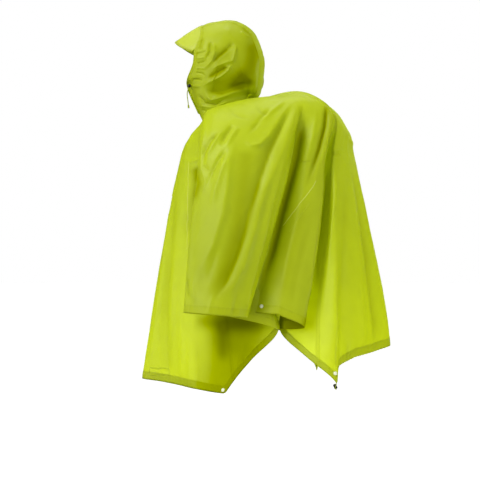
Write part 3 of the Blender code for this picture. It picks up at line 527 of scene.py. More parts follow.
def grid_normals(points):
    """Unit normals of a grid of points, out of the cloth when its lines run to the left and down."""
    normal = np.cross(np.gradient(points, axis=1), np.gradient(points, axis=0))
    return normal / np.maximum(np.linalg.norm(normal, axis=-1, keepdims=True), 1e-12)


# ---------------------------------------------------------------- creases


def smooth_step(low, high, value):
    """0 below low, 1 above high, and a cubic between."""
    t = np.clip((value - low) / (high - low), 0, 1)
    return t * t * (3 - 2 * t)


def elevation(points):
    """Where points show on the side elevation, in steps across and down it: a plain perspective."""
    sine, cosine = math.sin(ELEVATION_TURN), math.cos(ELEVATION_TURN)
    near = sine * points[..., 0] - cosine * points[..., 1]
    scale = ELEVATION_STEP * (ELEVATION_DISTANCE - near) / ELEVATION_DISTANCE
    across = (cosine * points[..., 0] + sine * points[..., 1] - ELEVATION_MIDDLE[0]) / scale
    down = (points[..., 2] - ELEVATION_MIDDLE[1]) / scale
    return np.stack([ELEVATION_SIZE / 2 + across, ELEVATION_SIZE / 2 - down], axis=-1)


def facing_elevation(normals):
    """How squarely cloth with these normals faces the side elevation, from -1 to 1."""
    return normals[..., 0] * math.sin(ELEVATION_TURN) - normals[..., 1] * math.cos(ELEVATION_TURN)


def crease_field(flat, rows, unit, weights):
    """Height of every crease of rows at the flat points.

    A crease is its height times a bell of the distance from its line, wider on the left by its lean, and fades
    towards both ends. Where several lie close, they add.
    """
    total = np.zeros(flat.shape[:-1])
    for row in rows:
        row = (*row, *CREASE_ENDS[len(row) - CREASE_COLUMNS :])
        layer, height, width, lean, fade_in, fade_out, line, crisp, taper = row
        weight = weights.get(layer)
        if weight is None:
            continue
        line = np.array(line, float)
        runs = np.linalg.norm(np.diff(line, axis=0), axis=1)
        starts = np.concatenate([[0], np.cumsum(runs)])
        best = np.full(flat.shape[:-1], np.inf)
        side = np.zeros_like(best)
        along = np.zeros_like(best)
        for i, run in enumerate(runs):
            way = (line[i + 1] - line[i]) / run
            offset = flat - line[i]
            t = np.clip(offset @ way, 0, run)
            gap = offset - t[..., None] * way
            distance = np.linalg.norm(gap, axis=-1)
            nearer = distance < best
            best = np.where(nearer, distance, best)
            side = np.where(nearer, offset[..., 0] * way[1] - offset[..., 1] * way[0], side)
            along = np.where(nearer, (starts[i] + t) / starts[-1], along)
        wide = np.where(side < 0, lean, 1.0) * width * MM * (1 + (taper - 1) * along)
        bell = np.exp(-((best * unit / wide) ** crisp))
        fade = smooth_step(0, max(fade_in, 1e-3), along) * smooth_step(0, max(fade_out, 1e-3), 1 - along)
        total += height * MM * bell * fade * weight
    return total


def painted_shade_from(relief, painted_shade_share):
    """Share of painted shade, which also stops light through the cloth: as given, and more in the creases'
    hollows.
    """
    return np.clip(painted_shade_share + HOLLOW_SHARE * np.clip(-relief / HOLLOW_DEPTH, 0, 1), 0, 1)


def lattice_noise(x, y, seed):
    """Smooth noise from 0 to 1 over the plane: random values on a unit lattice, blended by cubics."""
    table = np.random.default_rng(seed).random((NOISE_SIZE, NOISE_SIZE))
    i, j = np.floor(x).astype(int), np.floor(y).astype(int)
    u, v = x - i, y - j
    u, v = u * u * (3 - 2 * u), v * v * (3 - 2 * v)
    i, j = i % NOISE_SIZE, j % NOISE_SIZE
    n, m = (i + 1) % NOISE_SIZE, (j + 1) % NOISE_SIZE
    low = table[i, j] * (1 - u) + table[n, j] * u
    high = table[i, m] * (1 - u) + table[n, m] * u
    return low * (1 - v) + high * v


def crinkle(u, v, size, seed):
    """Crumpled relief from -1 to 1: ridges where smooth noise passes its middle, bent by a second noise."""
    bend = lattice_noise(u / (2 * size), v / (2 * size), seed + 1)
    field = lattice_noise(u / size + 1.5 * bend, v / (1.6 * size) - bend, seed)
    return 1 - 2 * np.abs(2 * field - 1) ** 0.8


# ---------------------------------------------------------------- meshes


def add_mesh(name, points, faces, uv, look, layers=None):
    """A smooth mesh object from arrays of points, faces and one uv a point, with extra values a point."""
    mesh = bpy.data.meshes.new(name)
    mesh.from_pydata(points.reshape(-1, 3).tolist(), [], faces.tolist() if hasattr(faces, "tolist") else faces)
    loops = np.empty(len(mesh.loops), np.int32)
    mesh.loops.foreach_get("vertex_index", loops)
    made = mesh.uv_layers.new(name="UVMap")
    made.data.foreach_set("uv", uv.reshape(-1, 2)[loops].astype(np.float32).ravel())
    for key, values in (layers or {}).items():
        attribute = mesh.attributes.new(key, "FLOAT", "POINT")
        attribute.data.foreach_set("value", values.astype(np.float32).ravel())
    mesh.shade_smooth()
    mesh.materials.append(look)
    obj = bpy.data.objects.new(name, mesh)
    bpy.context.scene.collection.objects.link(obj)
    return obj


def grid_quads(columns, rows, closed=False):
    """Quads of a grid whose lines run round to the left and down; closed joins its last line to its first."""
    index = np.arange(columns * rows).reshape(columns, rows)
    if closed:
        index = np.concatenate([index, index[:1]])
    corners = [index[:-1, :-1], index[:-1, 1:], index[1:, 1:], index[1:, :-1]]
    return np.stack(corners, axis=-1).reshape(-1, 4)


def add_grid(name, points, uv, look, layers=None):
    """A smooth mesh object from a grid of points."""
    return add_mesh(name, points, grid_quads(*points.shape[:2]), uv, look, layers)


def runs_along(points, axis):
    """Length along one axis of a grid of points, from its start."""
    steps = np.linalg.norm(np.diff(points, axis=axis), axis=-1)
    pad = [(0, 0), (0, 0)]
    pad[axis] = (1, 0)
    return np.cumsum(np.pad(steps, pad), axis=axis)


def frames_along(path):
    """Two unit vectors across a path at each of its points, turned as little as possible along it."""
    tangent = unit(np.gradient(path, axis=0))
    first = np.zeros_like(tangent)
    guide = np.array([1.0, 0, 0]) if abs(tangent[0, 0]) < 0.8 else np.array([0, 1.0, 0])
    for i, t in enumerate(tangent):
        guide = guide - t * (guide @ t)
        guide = guide / np.linalg.norm(guide)
        first[i] = guide
    return first, np.cross(tangent, first)


def tube(name, path, across, up, look):
    """An oval section of half sizes across and up, carried along a path and closed at both ends."""
    first, second = frames_along(path)
    count = 12
    angle = np.linspace(0, 2 * math.pi, count, endpoint=False)
    ring = np.cos(angle)[:, None, None] * first * across + np.sin(angle)[:, None, None] * second * up
    points = path[None] + ring
    length = runs_along(points, 1)
    uv = np.stack([length, np.broadcast_to((angle / (2 * math.pi))[:, None], length.shape) * 0.01], axis=-1)
    quads = grid_quads(count, len(path), closed=True)
    faces = quads[:, ::-1].tolist()
    index = np.arange(count * len(path)).reshape(count, len(path))
    faces.append(index[:, 0].tolist())
    faces.append(index[::-1, -1].tolist())
    return add_mesh(name, points, faces, uv, look)


def lathe(name, profile, centre, axis, look, sides=40):
    """A profile of (radius, height) in millimetres turned round an axis through centre, closed at both ends."""
    axis = np.asarray(axis, float) / np.linalg.norm(axis)
    across = np.cross([0.0, 0.0, 1.0], axis)
    across /= np.linalg.norm(across)
    other = np.cross(axis, across)
    angle = np.linspace(0, 2 * math.pi, sides, endpoint=False)
    radius, height = (np.array(profile, float) * MM).T
    circle = np.cos(angle)[:, None, None] * across + np.sin(angle)[:, None, None] * other
    points = centre + circle * radius[None, :, None] + height[None, :, None] * axis
    uv = np.stack(np.broadcast_arrays(angle[:, None] / 6.3, height[None, :]), axis=-1)
    faces = grid_quads(sides, len(profile), closed=True)[:, ::-1].tolist()
    index = np.arange(sides * len(profile)).reshape(sides, len(profile))
    faces.append(index[::-1, 0].tolist())
    faces.append(index[:, -1].tolist())
    return add_mesh(name, points, faces, uv, look)


# ---------------------------------------------------------------- materials


def linear(code):
    """A linear RGBA colour from an sRGB hex code."""
    parts = [int(code[i : i + 2], 16) / 255 for i in (1, 3, 5)]
    return (*(c / 12.92 if c <= 0.04045 else ((c + 0.055) / 1.055) ** 2.4 for c in parts), 1.0)


def add_node(tree, kind, inputs=None, **settings):
    """One shader node with its settings. Each input takes a value, or a link from another node's output."""
    node = tree.nodes.new("ShaderNode" + kind)
    for key, value in settings.items():
        setattr(node, key, value)
    for key, value in (inputs or {}).items():
        if isinstance(value, bpy.types.NodeSocket):
            tree.links.new(value, node.inputs[key])
        else:
            node.inputs[key].default_value = value
    return node


def combined(tree, operation, *values, **settings):
    """The result of one operation on numbers or outputs."""
    return add_node(tree, "Math", dict(enumerate(values)), operation=operation, **settings).outputs[0]


def ranged(tree, value, came, goes, **settings):
    """A value that runs over the pair came, run over the pair goes instead."""
    ends = dict(zip(("From Min", "From Max", "To Min", "To Max"), (*came, *goes)))
    return add_node(tree, "MapRange", {"Value": value, **ends}, **settings).outputs[0]


def blend(tree, share, first, second):
    """The first colour mixed with the second by a share."""
    inputs = {"Factor": share, "A": first, "B": second}
    return add_node(tree, "Mix", inputs, data_type="RGBA").outputs["Result"]


def bumped(tree, height, strength, distance, normal=None, **settings):
    """A normal bent by a height, on top of another normal."""
    inputs = {"Height": height, "Strength": strength, "Distance": distance}
    if normal is not None:
        inputs["Normal"] = normal
    return add_node(tree, "Bump", inputs, **settings).outputs[0]


def new_material(name):
    """An empty material and its tree, with a Principled shader and an output."""
    made = bpy.data.materials.new(name)
    made.use_nodes = True
    tree = made.node_tree
    tree.nodes.clear()
    out = add_node(tree, "OutputMaterial")
    shader = add_node(tree, "BsdfPrincipled")
    tree.links.new(shader.outputs[0], out.inputs[0])
    return made, tree, shader, out


def coated_nylon(name, light, dark, painted_shade_colour, hem, translucent):
    """Nylon taffeta with a silicone coat, not ripstop: a soft broad gloss, and light that comes through single
    cloth. Its hem is darker and denser, because it is doubled and sewn with a lock stitch of 3 mm.
    """
    made, tree, shader, out = new_material(name)
    coords = add_node(tree, "TexCoord")
    position, uv = coords.outputs["Object"], coords.outputs["UV"]
    # The cloth's own values: its distance from the lower edge and from the piece's seams, in metres, and the
    # share of painted shade.
    edge, seam, painted_shade_share = (
        add_node(tree, "Attribute", attribute_name=key).outputs["Fac"] for key in ("edge", "seam", "painted_shade_share")
    )
    # Slight unevenness of the coat, about 60 mm across.
    patches = add_node(tree, "TexNoise", {"Vector": position, "Scale": 16.0, "Detail": 3.0, "Roughness": 0.55})
    colour = blend(tree, patches.outputs["Fac"], linear(light), linear(dark))
    doubled = ranged(tree, edge, HEM_FADE, (0.0, 1.0), interpolation_type="SMOOTHSTEP")
    felled = ranged(tree, seam, SEAM_FADE, (0.0, 0.6), interpolation_type="SMOOTHSTEP")
    dense = combined(tree, "MAXIMUM", doubled, felled)
    colour = blend(tree, dense, colour, linear(hem))
    # Painted shade: the colour is mixed towards a dark olive where painted shade lies, in hollows and under the
    # sleeve.
    colour = blend(tree, painted_shade_share, colour, linear(painted_shade_colour))
    tree.links.new(colour, shader.inputs["Base Color"])
    # The stitches: dashes 3 mm long along the hem, drawn 5 mm so that they show.
    split = add_node(tree, "SeparateXYZ", {0: uv})
    dash = combined(tree, "MULTIPLY", split.outputs[0], 2 * math.pi / STITCH_LENGTH)
    wave = combined(tree, "MULTIPLY_ADD", combined(tree, "SINE", dash), 0.5, 0.5)
    rows = []
    for distance, where in ((edge, 0.0225), (edge, 0.003), (seam, 0.0065), (seam, 0.0015)):
        off = combined(tree, "ABSOLUTE", combined(tree, "SUBTRACT", distance, where))
        rows.append(ranged(tree, off, STITCH_FADE, (0.0, 1.0), interpolation_type="SMOOTHSTEP"))
    every = rows[0]
    for row in rows[1:]:
        every = combined(tree, "MAXIMUM", every, row)
    stitches = combined(tree, "MULTIPLY", every, wave)
    # Fine creases of a packed coat, about 12 mm and 4 mm apart.
    ridges = {"Vector": position, "Scale": 34.0, "Detail": 4.0, "Roughness": 0.5, "Lacunarity": 2.2}
    wrinkles = add_node(tree, "TexNoise", ridges, noise_type="RIDGED_MULTIFRACTAL").outputs["Fac"]
    soft = add_node(tree, "TexNoise", {"Vector": position, "Scale": 90.0, "Detail": 3.0, "Roughness": 0.6})
    soft = soft.outputs["Fac"]
    # The weave: threads 0.3 mm apart, drawn 1 mm apart.
    plain = {"Vector": uv, "Scale": 320.0, "Distortion": 0.0}
    threads = [add_node(tree, "TexWave", plain, bands_direction=way).outputs["Fac"] for way in "XY"]
    weave = combined(tree, "ADD", *threads)
    wavy = bumped(tree, soft, 0.18, 0.0012, bumped(tree, wrinkles, 0.16, 0.0025))
    normal = bumped(tree, weave, 0.10, 0.0001, wavy)
    normal = bumped(tree, dense, 0.8, 0.0006, normal)
    normal = bumped(tree, stitches, 0.9, 0.0008, normal, invert=True)
    tree.links.new(normal, shader.inputs["Normal"])
    tree.links.new(ranged(tree, soft, (0.3, 0.7), (0.42, 0.52)), shader.inputs["Roughness"])
    shader.inputs["IOR"].default_value = 1.45
    # Less gloss under the painted shade, and where the cloth is doubled its coat is pressed flat and hardly
    # shines.
    dulled = combined(tree, "MULTIPLY_ADD", painted_shade_share, -0.75, 0.45, use_clamp=True)
    dulled = combined(tree, "MULTIPLY_ADD", dense, -0.18, dulled, use_clamp=True)
    tree.links.new(dulled, shader.inputs["Specular IOR Level"])
    if translucent:
        through = add_node(tree, "BsdfTranslucent", {"Color": colour, "Normal": wavy})
        share = ranged(tree, dense, (0.0, 1.0), (translucent, 0.6 * translucent))
        # The painted shade also cuts the light through the cloth.
        share = combined(tree, "MULTIPLY", share, combined(tree, "MULTIPLY_ADD", painted_shade_share, -1.0, 1.0))
        mixed = add_node(tree, "MixShader", {"Fac": share, 1: shader.outputs[0], 2: through.outputs[0]})
        tree.links.new(mixed.outputs[0], out.inputs[0])
    return made


def moulded_resin(name, code, roughness, grain):
    """Injection moulded acetal: an even colour, and a satin skin with a fine mould grain."""
    made, tree, shader, _ = new_material(name)
    coords = add_node(tree, "TexCoord")
    noise = add_node(tree, "TexNoise", {"Vector": coords.outputs["Object"], "Scale": grain, "Detail": 2.0})
    grain_height = noise.outputs["Fac"]
    skin = ranged(tree, grain_height, (0.3, 0.7), (roughness - 0.05, roughness + 0.08))
    shader.inputs["Base Color"].default_value = linear(code)
    shader.inputs["IOR"].default_value = 1.48
    tree.links.new(skin, shader.inputs["Roughness"])
    tree.links.new(bumped(tree, grain_height, 0.15, 0.0002), shader.inputs["Normal"])
    return made


def braided_cord(name, light, dark):
    """Braided polyester cord: two sets of strands that cross, about 1 mm apart."""
    made, tree, shader, _ = new_material(name)
    coords = add_node(tree, "TexCoord")
    turn = {"Vector": coords.outputs["UV"], "Rotation": (0.0, 0.0, math.radians(45))}
    turned = add_node(tree, "Mapping", turn)
    strands = add_node(tree, "TexChecker", {"Vector": turned.outputs[0], "Scale": 900.0}).outputs["Fac"]
    tree.links.new(blend(tree, strands, linear(light), linear(dark)), shader.inputs["Base Color"])
    tree.links.new(bumped(tree, strands, 0.5, 0.0003), shader.inputs["Normal"])
    shader.inputs["Roughness"].default_value = 0.75
    return made


def looks():
    """The object's materials, made once and then found again by name."""
    if "silicone_coated_nylon" not in bpy.data.materials:
        sizes = bpy.context.scene.poncho
        coated_nylon("silicone_coated_nylon", sizes.light, sizes.dark, sizes.painted_shade_colour, sizes.hem, sizes.translucent)
        coated_nylon("stiffened_nylon", "#A3AF0C", "#98A406", sizes.painted_shade_colour, "#8F9A00", 0.0)
        moulded_resin("moulded_acetal_white", "#CFD3B4", 0.38, 900.0)
        moulded_resin("moulded_acetal_black", "#17180F", 0.45, 700.0)
        braided_cord("braided_polyester", "#A9B52A", "#7C8A10")
        moulded_resin("polyurethane_seam_tape", "#B8C337", 0.5, 300.0)
    names = ("silicone_coated_nylon", "stiffened_nylon", "moulded_acetal_white", "moulded_acetal_black")
    return [bpy.data.materials[name] for name in (*names, "braided_polyester", "polyurethane_seam_tape")]


# ---------------------------------------------------------------- body cloth


def layer_weights(number, normals):
    """How much each layer's creases show at a point: in its range of folds, where the cloth faces it.

    A layer in a fold counts whichever way its cloth faces.
    """
    facing = smooth_step(0.05, 0.4, facing_elevation(normals))
    found = {}
    for layer, (first, last) in LAYERS.items():
        low, high = place(first), place(last)
        inside = smooth_step(low - 0.5, low + 0.3, number) * smooth_step(high + 0.5, high - 0.3, number)
        found[layer] = inside if layer in FOLDED else facing * inside
    return found


def body_relief(places, levels):
    """Height of the creases on the body cloth, and its share of painted shade, which also stops light through
    it.
    """
    mirrored = places > LAST
    number = np.where(mirrored, WHOLE - places, places)
    points = body_at(number, levels)
    normals = body_normal(number, levels)
    weights = layer_weights(number, normals)
    flat = elevation(points)
    # The hidden side's creases lie a little off the near side's, so that the two aren't a mirror image.
    flat = flat + np.where(mirrored, 1.0, 0.0)[..., None] * np.array([4.0, 7.0])
    relief = crease_field(flat, CREASES, ELEVATION_STEP, weights)
    own = body_at(places, levels)
    facing = body_normal(places, levels)
    square = {
        "ahead": smooth_step(0.5, 0.9, -facing[..., 1]) * smooth_step(0.05, 0.0, own[..., 1]),
        "behind": smooth_step(0.5, 0.9, facing[..., 1]) * smooth_step(0.2, 0.3, own[..., 1]),
    }
    relief += crease_field(own[..., [0, 2]] / MM, SQUARE_CREASES, MM, square)
    # The share of painted shade, from its table.
    painted_shade_share = crease_field(flat, PAINTED_SHADE, ELEVATION_STEP, weights) / MM
    return relief, painted_shade_from(relief, painted_shade_share)


def build_panel(name, first, last, look, rows=230, spacing=0.0046):
    """A body piece: the fold lines' surface moved out along its normals by its relief, with its hem turned in.

    Down the piece the rows run from the neckline to the lower edge, then over the edge and up inside the hem.
    """
    sizes = bpy.context.scene.poncho
    start_run, end_run = np.interp([np.mod(first, WHOLE), last], PLACES, RUNS)
    if first < 0:
        start_run -= RUNS[-1]
    columns = int((end_run - start_run) / spacing) + 1
    runs = np.linspace(start_run, end_run, columns)
    places = np.interp(np.mod(runs, RUNS[-1]), RUNS, PLACES)
    cut = np.interp(places, PLACES, CUTS)
    run = np.interp(np.linspace(0, 1, rows), LEVEL_RUN, np.arange(len(LEVELS)))
    levels = PANEL_START + (cut[:, None] - PANEL_START) * (run / run[-1])[None, :]
    grid = places[:, None] + 0 * levels
    points, normals = body_at(grid, levels), body_normal(grid, levels)
    down = runs_along(points, 1)
    edge = down[:, -1:] - down
    across = runs_along(points, 0)
    relief, painted_shade_share = body_relief(grid, levels)
    # Crumple, more at the shoulders and less on the long falls.
    u, v = runs[:, None] + 0 * levels, down
    amount = np.interp(levels, (0, 1, 2.5, 4, 6), (0.4, 1.0, 1.0, 0.6, 0.45)) * sizes.crinkle
    relief += amount * (crinkle(u, v, 0.055, 3) + 0.45 * crinkle(u, v, 0.024, 11))
    # Hem puckers, about 16 mm apart, and the doubled cloth of the hem.
    depth = sizes.hem_depth
    in_hem = smooth_step(depth + 0.012, depth - 0.004, edge)
    pucker = np.sin(u / 0.016 * 2 * math.pi + 2.5 * lattice_noise(u / 0.05, v / 0.05, 5))
    relief += in_hem * 0.0006 * pucker * smooth_step(0.0, 0.012, edge)
    relief += 0.0005 * smooth_step(depth, depth - 0.003, edge)
    relief *= smooth_step(0.0, 0.03, down)
    cloth = points + relief[..., None] * normals
    # The turned-in hem: over the edge and back up inside by the hem's depth.
    inside = np.array([*HEM_ROWS, depth])
    fall = np.linalg.norm(points[:, -1] - points[:, -2], axis=-1) / (levels[:, -1] - levels[:, -2])
    inner_levels = cut[:, None] - inside[None, :] / fall[:, None]
    inner_grid = places[:, None] + 0 * inner_levels
    inner_normals = body_normal(inner_grid, inner_levels)
    drop = np.stack([np.interp(inside, edge[i, ::-1], relief[i, ::-1]) for i in range(columns)])
    inner = body_at(inner_grid, inner_levels) + (drop - np.array(HEM_BACK)[None, :])[..., None] * inner_normals
    whole = np.concatenate([cloth, inner], axis=1)
    seam = np.minimum(across, across[-1:] - across)
    edges = np.concatenate([edge, np.broadcast_to(inside, inner_levels.shape)], axis=1)
    # The seams and the painted shade run on into the turned-in hem.
    seams, painted_shade_share = (
        np.concatenate([values, np.repeat(values[:, -1:], len(inside), axis=1)], axis=1)
        for values in (seam, painted_shade_share)
    )
    uv = np.stack([np.broadcast_to(runs[:, None], edges.shape), edges], axis=-1)
    obj = add_grid(name, whole, uv, look, {"edge": edges, "seam": seams, "painted_shade_share": painted_shade_share})
    return obj, cloth, grid


def nearest_on(cloth, grid, layer, targets):
    """The cloth's points and normals that show nearest to targets on the side elevation, within a layer."""
    normals = grid_normals(cloth)
    low, high = (place(name) for name in LAYERS[layer])
    seen = (facing_elevation(normals) > 0.1) & (grid >= low - 0.5) & (grid <= high + 0.5)
    flat = elevation(cloth)
    found = []
    for target in targets:
        distance = np.linalg.norm(flat - target, axis=-1) + np.where(seen, 0, 1e3)
        i = np.unravel_index(np.argmin(distance), distance.shape)
        found.append((cloth[i], normals[i]))
    return np.array([p for p, _ in found]), np.array([n for _, n in found])


def stitched_line(name, cloth, grid, layer, line, look):
    """A narrow sewn ridge over the cloth: a low strip 3 mm wide along a line on the side elevation."""
    line = np.array(line, float)
    runs = lengths(line)
    fine = np.linspace(0, runs[-1], int(runs[-1] * 1.2) + 2)
    targets = np.stack([np.interp(fine, runs, line[:, k]) for k in (0, 1)], axis=1)
    points, normals = nearest_on(cloth, grid, layer, targets)
    kernel = np.ones(5) / 5
    for values in (points, normals):
        padded = np.pad(values, ((2, 2), (0, 0)), mode="edge")
        values[:] = np.stack([np.convolve(padded[:, k], kernel, "valid") for k in range(3)], axis=1)
    along = np.gradient(points, axis=0)
    along /= np.maximum(np.linalg.norm(along, axis=1, keepdims=True), 1e-9)
    across = np.cross(along, normals)
    across = unit(across)
    width = np.array([-1.6, -1.1, 0.0, 1.1, 1.6]) * MM
    height = np.array([-0.6, 0.5, 0.7, 0.5, -0.6]) * MM
    strip = points[None] + width[:, None, None] * across[None] + height[:, None, None] * normals[None]
    uv = np.stack(np.broadcast_arrays(fine[None, :] * ELEVATION_STEP, width[:, None]), axis=-1)
    one = np.ones(strip.shape[:2])
    return add_grid(name, strip, uv, look, {"edge": one, "seam": one})


# ---------------------------------------------------------------- hood


def hood_half(rows=150, columns=150):
    """Points and normals of the hood's left half, its lengths back and down, and its stations."""
    ribs = np.linspace(0, len(HOOD) - 1, columns)
    share = np.linspace(1, 0, rows)
    stations = HOOD_START + (STATIONS - 1 - HOOD_START) * share
    grid_ribs, grid_stations = ribs[:, None] + 0 * stations[None, :], stations[None, :] + 0 * ribs[:, None]
    points = hood_at(grid_ribs, grid_stations)
    # The lower edge meets the body's neckline.
    degrees = np.interp(ribs, np.arange(len(RIBS)), [row[1] for row in RIBS])
    neck = body_at(np.interp(degrees, [row[1] for row in FOLDS], np.arange(len(FOLDS))), 0.0)
    down = runs_along(points, 1)
    meeting = smooth_step(0.03, 0.0, down[:, -1:] - down)
    points += meeting[..., None] * (neck - points[:, -1])[:, None]
    normals = grid_normals(points)
    across, down = runs_along(points, 0), runs_along(points, 1)
    return points, normals, across, down, grid_stations


def build_hood_side(name, right, look):
    """A hood half: the ribs' surface moved out by its creases, a little different on each side."""
    height = bpy.context.scene.poncho.crinkle
    points, normals, across, down, stations = hood_half()
    flat = elevation(points) + (np.array([1.5, 2.0]) if right else 0.0)
    facing = smooth_step(-0.1, 0.3, normals[..., 0])
    relief = crease_field(flat, HOOD_CREASES, ELEVATION_STEP, {"hood": facing})
    # Painted shade: a little over the whole hood, as if a head filled it, and more in its hollows and on its
    # rear plane, so that little light comes through it anywhere.
    painted_shade_share = painted_shade_from(relief, 0.12 + crease_field(flat, PAINTED_SHADE, ELEVATION_STEP, {"hood": facing}) / MM)
    seed = 21 if right else 17
    crumple = 0.5 * crinkle(across, down, 0.060, seed) + 0.15 * crinkle(across, down, 0.022, seed + 3)
    relief += height * crumple
    # Small gathers of the drawn-up face edge, which run back from it and die out.
    gathers = np.sin(down / 0.019 * 2 * math.pi + 7 * lattice_noise(down / 0.03, across / 0.03, seed))
    reach = 0.01 + 0.02 * lattice_noise(down / 0.02, 0 * down, seed + 1)
    relief += 0.0006 * gathers * smooth_step(reach, 0.003, across) * smooth_step(1.2, 2.2, stations)
    fixed = smooth_step(0.0, 0.012, across) * smooth_step(0.0, 0.012, across[-1:] - across)
    relief *= fixed * smooth_step(0.0, 0.007, down[:, -1:] - down) * smooth_step(0.0, 0.01, down)
    cloth = points + relief[..., None] * normals
    seam = np.minimum(np.minimum(across[-1:] - across, down), down[:, -1:] - down)
    uv = np.stack([across, down], axis=-1)
    if right:
        turned = (cloth * MIRROR, uv, across, seam, painted_shade_share)
        cloth, uv, across, seam, painted_shade_share = (values[::-1] for values in turned)
    return add_grid(name, cloth, uv, look, {"edge": across + 0.0135, "seam": seam, "painted_shade_share": painted_shade_share})


def strip_edge(count):
    """The line where the hood's side meets its crown strip, from the front edge over the crown to the nape."""
    over = hood_at(np.linspace(0, len(HOOD) - 1, count), float(STATIONS - 1))
    down = hood_at(float(len(HOOD) - 1), np.linspace(STATIONS - 1, HOOD_START, count // 2 + 2)[1:])
    return np.concatenate([over, down])


def build_crown_strip(look):
    """The crown strip: an arch between the hood's two sides, carried from the front edge to the nape."""
    sizes = bpy.context.scene.poncho
    edge = strip_edge(19)
    run = lengths(edge)
    fine = np.linspace(0, run[-1], 190)
    edge = hermite(run, edge, fine)
    tangent = np.gradient(edge, axis=0)
    outward = np.stack([0 * tangent[:, 0], -tangent[:, 2], tangent[:, 1]], axis=1)
    outward = unit(outward)
    share = np.linspace(-1, 1, 45)
    across = edge[:, None, :] * np.stack([share, 0 * share + 1, 0 * share + 1], axis=1)[None]
    fade = np.interp(np.linspace(0, 1, len(edge)), (0, 0.7, 1), (1, 1, 0.1))
    bulge = STRIP_CROWN * (1 - share**2)[None, :] * fade[:, None]
    u, v = np.broadcast_arrays(fine[:, None], (share * 0.045)[None, :])
    # A slack patch near the top of the back, and puckers along both seams.
    bulge = bulge + sizes.crinkle * (crinkle(u, v, 0.045, 31) + 0.5 * crinkle(u, v, 0.018, 37)) * (1 - share**8)
    bulge = bulge + 0.0010 * np.sin(u / 0.014 * 2 * math.pi) * (np.abs(share) ** 4 * (1 - share**8))[None, :]
    # Its lower end sags onto the shoulders.
    place_down = np.linspace(0, 1, len(edge))[:, None]
    bulge = bulge + 0.006 * np.exp(-(((place_down - 0.93) / 0.05) ** 2))
    points = (across + outward[:, None, :] * bulge[:, :, None])[:, ::-1]
    width = runs_along(points, 1)
    seam = np.minimum(width, width[:, -1:] - width)
    uv = np.stack([u[:, ::-1], v[:, ::-1]], axis=-1)
    return add_grid("hood_crown_cloth", points, uv, look, {"edge": np.ones(u.shape), "seam": seam})


def face_edge_path():
    """The face opening's edge: up its left side from the collar, over the crown strip and down its right."""
    left = hood_at(0.0, np.linspace(1.6, STATIONS - 1, 90))
    corner = left[-1]
    share = np.linspace(1, -1, 22)[1:-1]
    arch = STRIP_CROWN * (1 - share**2)
    middle = np.stack([corner[0] * share, corner[1] - 0.2 * arch, corner[2] + arch], axis=1)
    return np.concatenate([left, middle, (left * MIRROR)[::-1]])


def build_face_hem(look):
    """The drawcord's channel round the face: an oval section carried round the opening, with small gathers."""
    path = face_edge_path()
    length = lengths(path)
    fine = np.linspace(0, length[-1], 420)
    path = np.stack([np.interp(fine, length, path[:, k]) for k in range(3)], axis=1)
    tangent = unit(np.gradient(path, axis=0))
    # Across the channel lies the cloth's own direction back from the edge, and up lies out of the hood.
    centre = np.array([0.0, -0.02, 0.15])
    back = np.array([0.0, 1.0, 0.0]) - tangent * tangent[:, 1:2]
    back = unit(back)
    out = np.cross(tangent, back)
    out *= np.sign((out * (path - centre)).sum(axis=1, keepdims=True))
    angle = np.linspace(0, 2 * math.pi, 16, endpoint=False)
    gather = 1 + 0.16 * np.sin(fine / 0.015 * 2 * math.pi + 7 * lattice_noise(fine / 0.03, 0 * fine, 9))
    section = (
        (0.0035 + 0.0052 * np.cos(angle))[:, None, None] * back
        + (0.0014 * np.sin(angle))[:, None, None] * out * gather[:, None]
        + 0.0006 * (gather[:, None] - 1) * out
    )
    points = path[None] + section
    flip = (np.cross(tangent, back) * out).sum(axis=1).mean() < 0
    uv = np.stack(np.broadcast_arrays(fine[None, :], (angle * 0.002)[:, None]), axis=-1)
    quads = grid_quads(len(angle), len(fine), closed=True)
    faces = (quads if flip else quads[:, ::-1]).tolist()
    index = np.arange(len(angle) * len(fine)).reshape(len(angle), len(fine))
    caps = [index[:, 0].tolist(), index[::-1, -1].tolist()]
    faces += [cap[::-1] for cap in caps] if flip else caps
    one = np.ones(points.shape[:2])
    return add_mesh("hood_face_hem", points, faces, uv, look, {"edge": 0 * one + 0.01, "seam": one})


